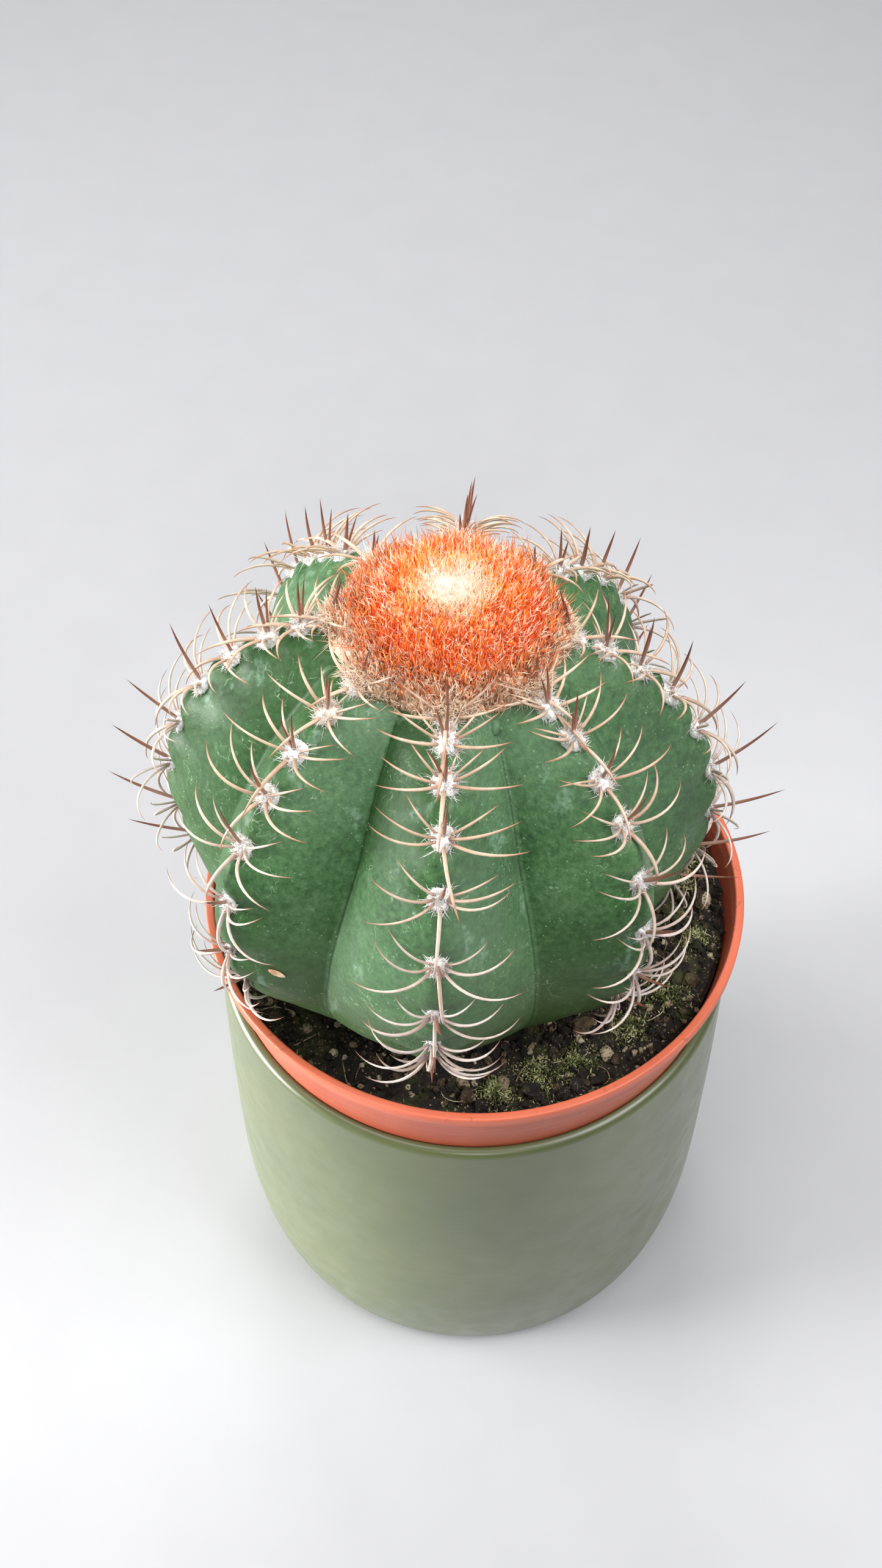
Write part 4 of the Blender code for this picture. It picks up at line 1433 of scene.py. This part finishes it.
@dataclass
class Stem:
    """The ribbed green body, with its taproot, small buds beside the cap and one dry flake."""

    rows: int = 150
    per_rib: int = 36
    span: Pair = (-66, 88)
    taproot: tuple[Pair, ...] = ((0.05, -0.78), (0.10, -0.50), (0.14, -0.33), (0.26, -0.265))
    buds: tuple[Pair, ...] = (
        (0.5, 67), (1.45, 66), (6.5, 66), (2.5, 67), (5.5, 67), (3.6, 66), (4.5, 68),
    )
    bract: Pair = (7.245, -8.0)
    # For each rib, painted light and shade from 0 for shade to 1 for light under a pale waxen coat: left
    # flank's upper and lower part, right flank's upper and lower part
    flank_light_and_wax: tuple[tuple[float, float, float, float], ...] = (
        (0.0, 1.0, 1.0, 0.8), (0.7, 0.1, 0.9, 0.6), (0.80, 0.5, 0.4, 0.4), (0.6, 0.4, 0.5, 0.3),
        (0.4, 0.5, 0.5, 0.4), (0.5, 0.3, 0.6, 0.5), (0.0, 0.2, 0.1, 0.3), (0.15, 0.4, 0.8, 0.1),
    )
    light_and_wax_heights: Pair = (50, -10)

    def light_and_wax_at(self, rib: Array, t: Array) -> Array:
        """How lit and waxen the skin is, from the table's four numbers for each rib: painted shade at 0,
        painted light at 1.

        Args:
            rib: Rib positions (columns,).
            t: Height angles (rows,).

        Returns:
            Painted light and shade with the waxen coat (rows, columns), blended across the crests and down
            the flanks.
        """
        nearest = np.round(rib)
        left_high, left_low, right_high, right_low = np.array(self.flank_light_and_wax)[nearest.astype(int) % SHAPE.ribs].T
        across = np.clip((rib - nearest) / 0.2 + 0.5, 0, 1)
        high, low = left_high + (right_high - left_high) * across, left_low + (right_low - left_low) * across
        top, bottom = self.light_and_wax_heights
        down = np.clip((top - np.degrees(t)) / (top - bottom), 0, 1)[:, None]
        return high * (1 - down) + low * down

    def body(self) -> Surface:
        """Rings up the ribbed surface, over a few taproot rings below."""
        rib = np.arange(SHAPE.ribs * self.per_rib) / self.per_rib
        t = np.radians(np.linspace(*self.span, self.rows))
        grid, rise = SHAPE.skin(rib, t)
        flat = grid.reshape(-1, 3)
        middle = SHAPE.world(np.array([0, 0, 0.6]))
        wave = 0.25 * MM * lattice_noise(flat, 13 * MM, 4) + 0.10 * MM * lattice_noise(flat, 4 * MM, 8)
        grid = (flat + unit(flat - middle) * wave[:, None]).reshape(grid.shape)
        angle = SHAPE.rib_angle(rib)
        rings = [np.stack([r * np.cos(angle), r * np.sin(angle), z + 0 * angle], -1) for r, z in self.taproot]
        lower = SHAPE.world(np.array(rings))
        # "low" puts painted shade on the foot, and "side" carries painted light and shade by flank.
        low = np.broadcast_to(np.clip((25 - np.degrees(t)) / 50, 0, 1)[:, None], rise.shape)
        values = {"crest": rise, "side": self.light_and_wax_at(rib, t), "low": low}
        for key, data in values.items():
            values[key] = np.concatenate([data[:1].repeat(len(lower), axis=0), data])
        return ringed(np.concatenate([lower, grid]), values)

    def spot(self, rib: float, angle: float) -> Array:
        """The skin's point at a rib position and a height angle in degrees."""
        return SHAPE.skin(np.array([rib]), np.radians([angle]))[0][0, 0]

    def bud_lumps(self) -> Surface:
        """Small smooth swellings at the furrows' upper ends."""
        spots = np.array([self.spot(*bud) for bud in self.buds])
        out = unit(spots - SHAPE.world(np.array([0, 0, 0.9])))
        first = unit(np.cross(out, np.array([0.3, 0.1, 1.0])))
        frames = np.stack([first * 1.2 * MM, np.cross(out, first) * 1.9 * MM, out * 1.4 * MM], -1)
        lumps = stamped(ball(9, 16), frames, spots, {})
        count = len(lumps.points)
        # The buds take a "side" of 0.9: painted light under a pale waxen coat.
        lumps.values = {"crest": np.full(count, 0.6), "side": np.full(count, 0.9), "low": np.zeros(count)}
        return lumps

    def dry_bract(self) -> Surface:
        """A papery lens-shaped flake stuck flat to the front-left rib's right flank."""
        rib, angle = self.bract
        middle = self.spot(rib, angle)
        along = unit(self.spot(rib + 0.04, angle - 1.2) - middle)
        out = unit(np.cross(along, self.spot(rib + 0.04, angle + 1.2) - middle))
        frame = np.stack([along * 2.1 * MM, np.cross(out, along) * 0.8 * MM, out * 0.35 * MM], -1)
        raised = middle + out * 0.25 * MM
        flake = stamped(ball(11, 20), frame[None], raised[None], {"tone": np.array([0.45])})
        flake.points += 0.12 * MM * lattice_noise(flake.points, 0.8 * MM, 5)[:, None] * out
        flake.values["along"] = np.clip((flake.points - middle) @ along / (3.4 * MM) + 0.3, 0, 1)
        return flake

    def build(self) -> list[bpy.types.Object]:
        """Build and dress the body and the flake on it."""
        skin = Surface.joined([self.body(), self.bud_lumps()])
        piece = skin.dressed("ribbed_stem", Finish.SKIN.material())
        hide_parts("stem")
        bract = self.dry_bract().dressed("dry_bract", Finish.TAN_WOOL.material())
        return [piece, bract]


class SpineKind(Enum):
    """Kinds of spine on an areole."""

    RADIAL = 0
    CENTRAL = 1


@dataclass(frozen=True)
class SpineSpec:
    """One spine of an areole, angles in degrees and sizes in millimetres.

    It leaves the areole at `turn` from the rib's upward line and `lift` above the skin; along its
    length it bends back to the skin by `curl` shares of the rib's usual curl, and turns up by `swing`.
    Areoles at height angles above `oldest` have it.
    """

    turn: float
    length: float
    lift: float
    curl: float
    swing: float
    radius: float
    kind: SpineKind = SpineKind.RADIAL
    oldest: float = -90


def paired(turn: float, *sizes: float, **limits: float) -> list[SpineSpec]:
    """The same spine on both sides of the rib."""
    return [SpineSpec(side * turn, *sizes, **limits) for side in (-1, 1)]


@dataclass
class Areoles:
    """Wool tufts and spines along every rib."""

    specs: list[SpineSpec] = field(default_factory=lambda: [
        *paired(55, 13.0, 48, 0.7, 14, 0.29), *paired(82, 17.5, 60, 1.0, 38, 0.34),
        *paired(118, 18.5, 61, 1.0, 46, 0.36), *paired(24, 9.0, 55, 0.5, 0, 0.25, oldest=56),
        SpineSpec(180, 18.0, 52, 0.95, 0, 0.47), SpineSpec(3, 15.5, 64, 0.16, 0, 0.42, SpineKind.CENTRAL),
        SpineSpec(-22, 13.0, 62, 0.1, 0, 0.34, SpineKind.CENTRAL, oldest=52)])
    rib_scale: tuple[float, ...] = (1, 1, 1, 1, 0.78, 1, 1, 1)
    central_scale: tuple[float, ...] = (1, 1, 1.25, 1, 1, 1, 1.2, 1)
    size_by_height: tuple[Pair, ...] = (
        (-25, 0.9), (-15, 1.0), (-5, 1.04), (15, 1.0), (46, 0.93), (57, 0.82), (65, 0.76), (72, 0.66),
    )
    curl_by_height: tuple[Pair, ...] = ((-20, 112), (0, 106), (25, 98), (46, 82), (57, 62), (68, 45))
    lift_by_height: tuple[Pair, ...] = ((30, 1.0), (46, 0.95), (57, 0.82), (68, 0.75))
    stunting: tuple[Pair, ...] = ((-10, 0.35), (5, 0.25), (25, 0.0))
    wool_by_height: tuple[Pair, ...] = ((-25, 0.5), (-5, 0.6), (15, 0.85), (40, 1.0), (70, 1.05))
    dusty_seat: Pair = (7, 62.9)
    samples: int = 14
    sides: int = 6
    pad: Triple = (2.4, 2.7, 1.5)
    pad_rings: tuple[int, int] = (12, 24)
    tuft: int = 340
    seed: int = 11

    def at(self, table: tuple[Pair, ...], angle: Array) -> Array:
        """A number looked up between a table's pairs of height angle and value."""
        return np.interp(angle, *np.array(table).T)

    def reach(self, rib: Array, angle: Array) -> Array:
        """Length of the central spines by rib: the ribs with usual ones have them stunted low down."""
        scale = np.array(self.central_scale)[rib]
        return scale - self.at(self.stunting, angle) * (scale <= 1)

    def spines(self, seats: Seats, chosen: Array, dice: np.random.Generator) -> Surface:
        """Spines of the chosen seats, each bending at a steady rate.

        The heading starts at the lift above the rib and falls by the curl, while it turns up by the
        swing; the path is the running sum of the heading, from the edge of the pad for a radial.

        Args:
            seats: All seats.
            chosen: Numbers of the seats.
            dice: Source of the small differences.

        Returns:
            The spines as one surface.
        """
        rows = [(seat, spec) for seat in chosen for spec in self.specs if spec.oldest <= seats.angle[seat]]
        which = np.array([seat for seat, _ in rows])
        turn, length, lift, curl, swing, radius = (
            np.array([getattr(spec, key) for _, spec in rows], dtype=float)
            for key in ("turn", "length", "lift", "curl", "swing", "radius"))
        central = np.array([spec.kind.value for _, spec in rows], dtype=float)
        count, rib, angle = len(rows), seats.rib[which], seats.angle[which]
        side = np.sign(turn)
        turn = np.radians(turn + dice.normal(0, 6, count) * (1 - 0.3 * central))
        raised = self.at(self.lift_by_height, angle)
        lift = np.radians(lift + dice.normal(0, 5, count)) * np.where(central > 0, 1, raised)
        bend = np.radians(self.at(self.curl_by_height, angle)) * curl * dice.uniform(0.85, 1.15, count)
        swing = -side * np.radians(swing) * dice.uniform(0.7, 1.3, count) + dice.normal(0, 0.12, count)
        length = length * MM * self.at(self.size_by_height, angle) * dice.uniform(0.9, 1.08, count)
        length *= np.where(central > 0, self.reach(rib, angle), np.array(self.rib_scale)[rib])
        way = np.linspace(0, 1, self.samples)
        slope = lift[:, None] - bend[:, None] * way
        heading_turn = turn[:, None] + swing[:, None] * way
        heading = np.stack([np.cos(slope) * np.sin(heading_turn), np.cos(slope) * np.cos(heading_turn),
                            np.sin(slope)], -1)
        steps = heading * (length / (self.samples - 1))[:, None, None]
        local = np.cumsum(steps, axis=1) - steps[:, :1]
        pad_edge = np.stack([np.sin(turn), np.cos(turn), 0.3 + 0 * turn], -1) * 0.9 * MM
        local += (pad_edge * (1 - central)[:, None])[:, None]
        taper = (1 - way**2.8) * (1 + 0.12 * np.exp(-((way / 0.06) ** 2)))
        radii = radius[:, None] * MM * taper[None] * dice.uniform(0.88, 1.12, count)[:, None]
        age = np.clip((44 - angle) / 36, 0, 1)
        values = {"tone": dice.uniform(0, 1, count), "age": age, "central": central}
        return Strands(seats.world(which, local), radii, values).surface(self.sides)

    def dusty(self, seats: Seats, chosen: Array) -> Array:
        """Which of the chosen seats have weathered tan wool."""
        rib, angle = self.dusty_seat
        return (seats.rib[chosen] == rib) & (np.abs(seats.angle[chosen] - angle) < 1)

    def wool(self, seats: Seats, chosen: Array, dice: np.random.Generator) -> Surface:
        """Woolly pads: a low dome under short wavy fibres that splay from it.

        Args:
            seats: All seats.
            chosen: Numbers of the seats.
            dice: Source of the fibres.

        Returns:
            The pads as one surface.
        """
        size = self.at(self.wool_by_height, seats.angle[chosen])
        scales = size[:, None] * np.array(self.pad) * MM
        frames = seats.frames()[chosen] * scales[:, None, :]
        dusty = self.dusty(seats, chosen)
        tone = np.where(dusty, 0.15, dice.uniform(0.5, 0.9, len(chosen)))
        dome = ball(*self.pad_rings)
        pads = stamped(dome, frames, seats.origin[chosen], {"tone": tone})
        middle = np.repeat(seats.origin[chosen], len(dome.points), axis=0)
        push = rough_noise(pads.points, 0.9 * MM, 3, 6) * 0.8 * MM
        pads.points += unit(pads.points - middle) * push[:, None]
        pads.values["along"] = np.clip(0.45 + rough_noise(pads.points, 0.9 * MM, 3, 6), 0, 1)
        count = self.tuft * len(chosen)
        which = np.repeat(np.arange(len(chosen)), self.tuft)
        spin, reach = dice.uniform(0, TAU, count), dice.uniform(0, 1, count) ** 0.55
        flat = np.stack([np.cos(spin), 1.15 * np.sin(spin)], -1) * reach[:, None]
        start = np.column_stack([flat * 2.7 * MM, (1.5 - 1.3 * reach**2) * MM]) * size[which][:, None]
        heads = np.column_stack([flat * 0.6, 0.5 - 0.3 * reach]) + dice.normal(size=(count, 3)) * 0.7
        sway = dice.normal(size=(count, 3)) * 1.3
        lengths = dice.uniform(0.35, 1.0, count) * MM * size[which]
        shade = np.where(dusty[which], dice.uniform(0.05, 0.5, count), dice.uniform(0.35, 1, count))
        radii = dice.uniform(0.05, 0.10, count) * MM
        local = curled(start, unit(heads), lengths, sway, 3, radii, {"tone": shade})
        fibres = Strands(seats.world(chosen[which], local.paths), local.radii, local.values).surface(3)
        return Surface.joined([pads, fibres])

    def build(self) -> list[bpy.types.Object]:
        """Build and dress the spines and the wool of every rib."""
        seats, pieces = SHAPE.all_seats(), []
        for rib in range(SHAPE.ribs):
            dice = np.random.default_rng(self.seed + rib)
            chosen = np.flatnonzero(seats.rib == rib)
            spines = self.spines(seats, chosen, dice).dressed(f"spines_rib{rib + 1}", Finish.SPINE.material())
            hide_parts(*(f"areole_rib{rib + 1}_{row}" for row in range(1, 7)))
            wool = self.wool(seats, chosen, dice).dressed(f"wool_rib{rib + 1}", Finish.WOOL.material())
            pieces += [spines, wool]
        return pieces


@dataclass
class Cap:
    """The cephalium: a woolly dome under orange bristles, in a ruff of old wool and bristles."""

    radius: float = 0.287
    foot: float = 1.43
    top: float = 1.60
    middle: float = 1.3
    shift: Pair = (0.02, 0.0)
    skirt: float = 0.034
    ruff_top: Pair = (0.276, 1.476)
    shoulder: float = 1.9 * MM
    square: float = 2.5
    heart: Pair = (0.0, -0.03)
    heart_size: float = 5.0 * MM
    core_grid: tuple[int, int] = (50, 150)
    mat_grid: tuple[int, int] = (24, 200)
    bristles: int = 8600
    hairs: int = 8000
    hem_bristles: int = 900
    ruff_hairs: int = 5000
    old_bristles: int = 1500
    collar_hairs: int = 4500
    collar_angle: float = math.radians(70.2)
    seed: int = 23

    def centre(self) -> Array:
        """World place inside the cap that its sides face away from."""
        return SHAPE.world(np.array([0, 0, self.middle]))

    def up(self) -> Array:
        """World direction of the plant's axis."""
        return SHAPE.matrix()[:, 2]

    def dome(self, share: Array, spin: Array) -> tuple[Array, Array]:
        """Places on the dome, a superellipse turned about the axis.

        Args:
            share: 0 at the top to 1 at the foot, by area.
            spin: Angle about the axis.

        Returns:
            Plant-frame points (n, 3) and how far each faces sideways, 0 to 1.
        """
        power = 2 / self.square
        a = np.linspace(0, math.pi / 2, 400)
        r, z = self.radius * np.sin(a) ** power, self.foot + (self.top - self.foot) * np.cos(a) ** power
        strip = np.hypot(np.diff(r), np.diff(z)) * (r[1:] + r[:-1])
        area = np.append(0, np.cumsum(strip)) / strip.sum()
        radius, height = np.interp(share, area, r), np.interp(share, area, z)
        sideways = (radius / self.radius) ** (self.square - 1)
        x, y = radius * np.cos(spin) + self.shift[0], radius * np.sin(spin) + self.shift[1]
        return np.stack([x, y, height], -1), sideways

    def ruff(self, share: Array, spin: Array) -> Array:
        """Places on the ruff, from inside the dome's side out and down to the ribbed skin.

        Args:
            share: 0 at the dome to 1 at the skin.
            spin: Angle about the axis.

        Returns:
            World points (n, 3).
        """
        rib = np.mod((spin + math.pi / 2) * SHAPE.ribs / TAU, SHAPE.ribs)
        low = SHAPE.skin(rib, np.array([self.collar_angle]))[0][0]
        radius, height = self.ruff_top
        x, y = radius * np.cos(spin) + self.shift[0], radius * np.sin(spin) + self.shift[1]
        high = SHAPE.world(np.stack([x, y, np.full(len(spin), height)], -1))
        blend = share[:, None]
        shoulder = np.abs(np.sin(math.pi * share))[:, None] ** 0.8 * self.shoulder
        return high * (1 - blend) + low * blend + (self.sideways(low) * 0.3 + self.up()) * shoulder

    def sideways(self, points: Array) -> Array:
        """Level directions away from the axis at world points."""
        return unit((points - self.centre()) * LEVEL)

    def white_heart(self, points: Array) -> Array:
        """How bare of bristles the cap's middle is, 1 at its heart, a little to the front.

        Args:
            points: Places on the cap in the plant's own frame, (n, 3).

        Returns:
            Bareness of each place, falling to 0 along a ragged edge.
        """
        gap = np.hypot(points[:, 0] - self.heart[0], points[:, 1] - self.heart[1]) * SHAPE.rim
        ragged = 1 + 0.45 * lattice_noise(points * SHAPE.rim, 1.6 * MM, 12)
        return np.clip(1.4 - gap / self.heart_size * ragged, 0, 1)

    def wrapped(self, shape: tuple[int, int], last: float) -> tuple[Array, Array]:
        """Parameters of every point of a grid round the axis.

        Args:
            shape: Rows and columns.
            last: Share of the last row; the first row's is 1.

        Returns:
            Shares and angles, row by row.
        """
        rows, columns = shape
        share = np.broadcast_to(np.linspace(1, last, rows)[:, None], shape)
        spin = np.broadcast_to(TAU * np.arange(columns) / columns, shape)
        return share.ravel(), spin.ravel()

    def core(self) -> Surface:
        """The woolly dome under the bristles, nibbled by noise."""
        shape = self.core_grid
        points, _ = self.dome(*self.wrapped(shape, 0.0005))
        world = SHAPE.world(points)
        push = (rough_noise(world, 2.2 * MM, 4, 2) * 0.6 - 0.2 + 1.5 * self.white_heart(points)) * MM
        world = world + unit(world - self.centre()) * push[:, None]
        tone = np.clip(0.5 + 0.5 * rough_noise(world, 2 * MM, 3, 41) + self.white_heart(points), 0, 1)
        return ringed(world.reshape(*shape, 3), {"tone": tone.reshape(shape), "along": np.full(shape, 0.5)})

    def hair(self, dice: np.random.Generator) -> Surface:
        """Whitish wool fibres between the bristles, thickest over the heart.

        Args:
            dice: Source of their differences.

        Returns:
            The fibres as one surface.
        """
        extra = self.hairs // 4
        share = np.append(dice.uniform(0, 1, self.hairs), dice.uniform(0, 0.12, extra))
        points, sideways = self.dome(share, dice.uniform(0, TAU, len(share)))
        points[self.hairs:, 0] += self.heart[0]
        points[self.hairs:, 1] += self.heart[1]
        heart = self.white_heart(points)
        keep = dice.uniform(0, 1, len(points)) < 0.55 + heart
        points, sideways, heart = points[keep], sideways[keep], heart[keep]
        count = len(points)
        radial = unit(points * LEVEL)
        heads = unit(UPWARD + radial * (0.05 + 0.25 * sideways)[:, None]
                     + dice.normal(size=(count, 3)) * 0.3) @ SHAPE.matrix().T
        lengths = dice.uniform(1.8, 3.9, count) * MM
        radii = dice.uniform(0.08, 0.16, count) * MM
        tone = np.clip(0.35 * lattice_noise(points * SHAPE.rim, 1.3 * MM, 29) + dice.uniform(0.25, 1, count)
                       + 0.6 * heart, 0, 1)
        starts = SHAPE.world(points) - heads * 0.7 * MM
        sway = dice.normal(size=(count, 3)) * 0.25
        return curled(starts, heads, lengths, sway, 3, radii, {"tone": tone}).surface(3)

    def brush(self, dice: np.random.Generator) -> Surface:
        """Stiff bristles in a sunflower spiral, nearly upright, leaning outward down the side.

        Args:
            dice: Source of their differences.

        Returns:
            The bristles as one surface.
        """
        order = np.arange(self.bristles) + 0.5
        spin = order * GOLDEN_ANGLE + dice.normal(0, 0.04, self.bristles)
        points, sideways = self.dome(order / self.bristles, spin)
        heart = self.white_heart(points)
        clump = lattice_noise(points * SHAPE.rim, 1.6 * MM, 19)
        hem = self.foot + self.skirt + 0.02 * lattice_noise(points * SHAPE.rim, 2.0 * MM, 37)
        keep = (dice.uniform(0, 1, self.bristles) > heart * 1.05) & (clump > -0.62) & (points[:, 2] > hem)
        points, sideways, heart, clump = points[keep], sideways[keep], heart[keep], clump[keep]
        count = len(points)
        radial = unit(points * LEVEL)
        locks = np.stack([lattice_noise(points * SHAPE.rim, 2.4 * MM, seed) for seed in (71, 72, 73)], -1)
        heads = unit(UPWARD + radial * (0.06 * sideways)[:, None] + locks * 0.10
                     + dice.normal(size=(count, 3)) * 0.055) @ SHAPE.matrix().T
        lengths = dice.uniform(3.4, 5.2, count) * (1 - 0.25 * heart) * MM
        sway = radial * 0.02 + dice.normal(size=(count, 3)) * 0.07
        starts = SHAPE.world(points) - heads * 1.8 * MM
        radii = dice.uniform(0.12, 0.20, count) * MM
        rim = np.hypot(*points[:, :2].T) / self.radius
        tone = np.clip(dice.uniform(-0.15, 0.9, count) + 0.4 * clump + 1.5 * (0.66 - rim), 0, 1)
        return curled(starts, heads, lengths, sway, 3, radii, {"tone": tone}).surface(3)

    def straws(self, dice: np.random.Generator, share: Array, lengths: Pair, lean: float, stray: float,
               thick: float) -> Surface:
        """Hairs rooted on the ruff that rise, lean outward and stray.

        Args:
            dice: Source of their differences.
            share: Where on the ruff each is rooted.
            lengths: Shortest and longest, in millimetres.
            lean: Outward part of their headings.
            stray: Spread of their headings.
            thick: Base radius in millimetres.

        Returns:
            The hairs.
        """
        count = len(share)
        roots = self.ruff(share, dice.uniform(0, TAU, count))
        heads = unit(self.up() + self.sideways(roots) * lean + dice.normal(size=(count, 3)) * stray)
        radii = dice.uniform(0.75, 1.25, count) * thick * MM
        sizes = dice.uniform(*lengths, count) * MM
        sway = dice.normal(size=(count, 3)) * 0.25
        tone = dice.uniform(0, 1, count)
        return curled(roots - heads * 0.5 * MM, heads, sizes, sway, 3, radii, {"tone": tone}).surface(3)

    def mat(self) -> Surface:
        """The ruff's body: wool matted in upright locks."""
        shape, upright = self.mat_grid, np.array([1, 1, 0.35])
        world = self.ruff(*self.wrapped(shape, 0))
        push = rough_noise(world * upright, 1.8 * MM, 4, 15) * 1.3 * MM
        world = world + unit(world - self.centre()) * push[:, None]
        tone = np.clip(0.45 + 1.2 * rough_noise(world * upright, 1.6 * MM, 3, 55), 0, 1)
        return ringed(world.reshape(*shape, 3), {"tone": tone.reshape(shape), "along": np.full(shape, 0.5)})

    def collar(self, dice: np.random.Generator) -> Surface:
        """White wool where the ruff meets the ribs, thick on the crests and thin in the furrows.

        Args:
            dice: Source of their differences.

        Returns:
            The wool as one surface.
        """
        count = self.collar_hairs
        rib = dice.integers(0, SHAPE.ribs, count) + dice.normal(0, 0.16, count)
        share = 1 - np.abs(dice.normal(0, 0.16, count))
        roots = self.ruff(np.clip(share, 0, 1), SHAPE.rib_angle(np.mod(rib, SHAPE.ribs)))
        tilt = dice.uniform(-0.3, 1.5, count)[:, None]
        heads = unit(self.sideways(roots) * np.cos(tilt) + self.up() * np.sin(tilt)
                     + dice.normal(size=(count, 3)) * 0.6)
        lengths = dice.uniform(0.6, 1.7, count) * MM
        sway = dice.normal(size=(count, 3))
        radii = dice.uniform(0.06, 0.11, count) * MM
        tone = dice.uniform(0.25, 1, count)
        return curled(roots + heads * 0.5 * MM, heads, lengths, sway, 3, radii, {"tone": tone}).surface(3)

    def build(self) -> list[bpy.types.Object]:
        """Build and dress the cap's wool, bristles, ruff and collar."""
        dice = np.random.default_rng(self.seed)
        wool = Surface.joined([self.core(), self.hair(dice)])
        share = 0.4 * dice.uniform(0, 1, self.hem_bristles) ** 1.5
        hem = self.straws(dice, share, (2.4, 4.8), lean=0.06, stray=0.13, thick=0.17)
        brush = Surface.joined([self.brush(dice), hem])
        share = 1 - dice.uniform(0, 1, self.ruff_hairs) ** 1.2
        hairs = self.straws(dice, share, (1.6, 3.6), lean=0.12, stray=0.18, thick=0.14)
        ruff = Surface.joined([self.mat(), hairs])
        share = 0.85 - 0.85 * dice.uniform(0, 1, self.old_bristles) ** 0.8
        old = self.straws(dice, share, (2.8, 5.8), lean=0.16, stray=0.28, thick=0.16)
        pieces = [
            wool.dressed("cap_wool", Finish.CAP_WOOL.material()),
            brush.dressed("cap_bristles", Finish.BRISTLE.material()),
            ruff.dressed("cap_ruff", Finish.TAN_WOOL.material()),
            old.dressed("cap_old_bristles", Finish.OLD_BRISTLE.material()),
            self.collar(dice).dressed("cap_collar", Finish.TAN_WOOL.material()),
        ]
        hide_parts("cephalium")
        return pieces


@dataclass(frozen=True)
class SquareLamp:
    """A soft square lamp: its place, edge, watts, what it points at and its beam in degrees."""

    name: str
    at: Triple
    size: float
    power: float
    aim: Triple = (0, 0, 0.14)
    spread: float = 180

    def build(self) -> None:
        """Hang the lamp and point it."""
        light = bpy.data.lights.new(self.name, "AREA")
        light.size = self.size
        light.energy = self.power
        light.spread = math.radians(self.spread)
        lamp = placed(self.name, light)
        lamp.location = self.at
        lamp.rotation_euler = (Vector(self.aim) - Vector(self.at)).to_track_quat("-Z", "Y").to_euler()


@dataclass
class Studio:
    """Pale floor, soft lamps and the camera that looks down at the plant."""

    lamps: tuple[SquareLamp, ...] = (
        SquareLamp("key", (-1.15, 0.05, 0.24), 0.6, 24),
        SquareLamp("fill", (0.6, -0.3, 1.05), 0.6, 10),
        SquareLamp("back", (-0.1, 1.0, 1.0), 0.6, 7),
        SquareLamp("top", (-0.2, -0.1, 1.2), 0.6, 7),
        SquareLamp("low", (-0.6, -0.12, 0.10), 0.25, 0.45, (0, 0, 0), 30),
        SquareLamp("front", (0.05, -1.1, 1.05), 0.25, 3),
    )
    floor_reach: float = 4
    floor_paper: Stops = ((0.0, srgb(0.70, 0.70, 0.71)), (1.0, srgb(0.72, 0.72, 0.73)))
    sky: Colour = srgb(0.90, 0.92, 0.95)
    sky_strength: float = 0.10
    lens: float = 18 / math.tan(math.radians(25))
    nearest: float = 10 * MM
    eye: Triple = (-8.1 * MM, -238.5 * MM, 470.5 * MM)
    pitch: float = math.radians(39)

    def build(self) -> None:
        """Build the floor, the world, the lamps and the camera."""
        self.lay_floor()
        self.light_world()
        for lamp in self.lamps:
            lamp.build()
        self.set_camera()
        bpy.context.scene.view_settings.view_transform = "Standard"

    def lay_floor(self) -> None:
        """A pale square of paper under everything."""
        mesh = bpy.data.meshes.new("floor")
        reach = self.floor_reach
        corners = [(-reach, -reach, 0), (reach, -reach, 0), (reach, reach, 0), (-reach, reach, 0)]
        mesh.from_pydata(corners, [], [(0, 1, 2, 3)])
        sheet = Sheet("floor_paper", 0.9)
        mesh.materials.append(sheet.finish(sheet.ramp(sheet.noise(40, 2), self.floor_paper)))
        placed("floor", mesh)

    def light_world(self) -> None:
        """A dim, faintly blue sky all round."""
        world = bpy.data.worlds.new("studio")
        bpy.context.scene.world = world
        world.use_nodes = True
        background = world.node_tree.nodes["Background"]
        background.inputs["Color"].default_value = self.sky
        background.inputs["Strength"].default_value = self.sky_strength

    def set_camera(self) -> None:
        """The camera in front of the plant, above it and tilted down."""
        camera = bpy.data.cameras.new("view")
        camera.lens = self.lens
        camera.clip_start = self.nearest
        view = placed("view", camera)
        view.location = self.eye
        view.rotation_euler = (self.pitch, 0, 0)
        bpy.context.scene.camera = view


def main() -> None:
    """Build every sub-assembly in order and report each one."""
    logging.basicConfig(level=logging.INFO, format="%(message)s")
    Studio().build()
    for part in (CoverPot(), NurseryPot(), SoilBed(), Stem(), Areoles(), Cap()):
        part.build()
        LOG.info("built %s", type(part).__name__)


if __name__ == "__main__":
    main()
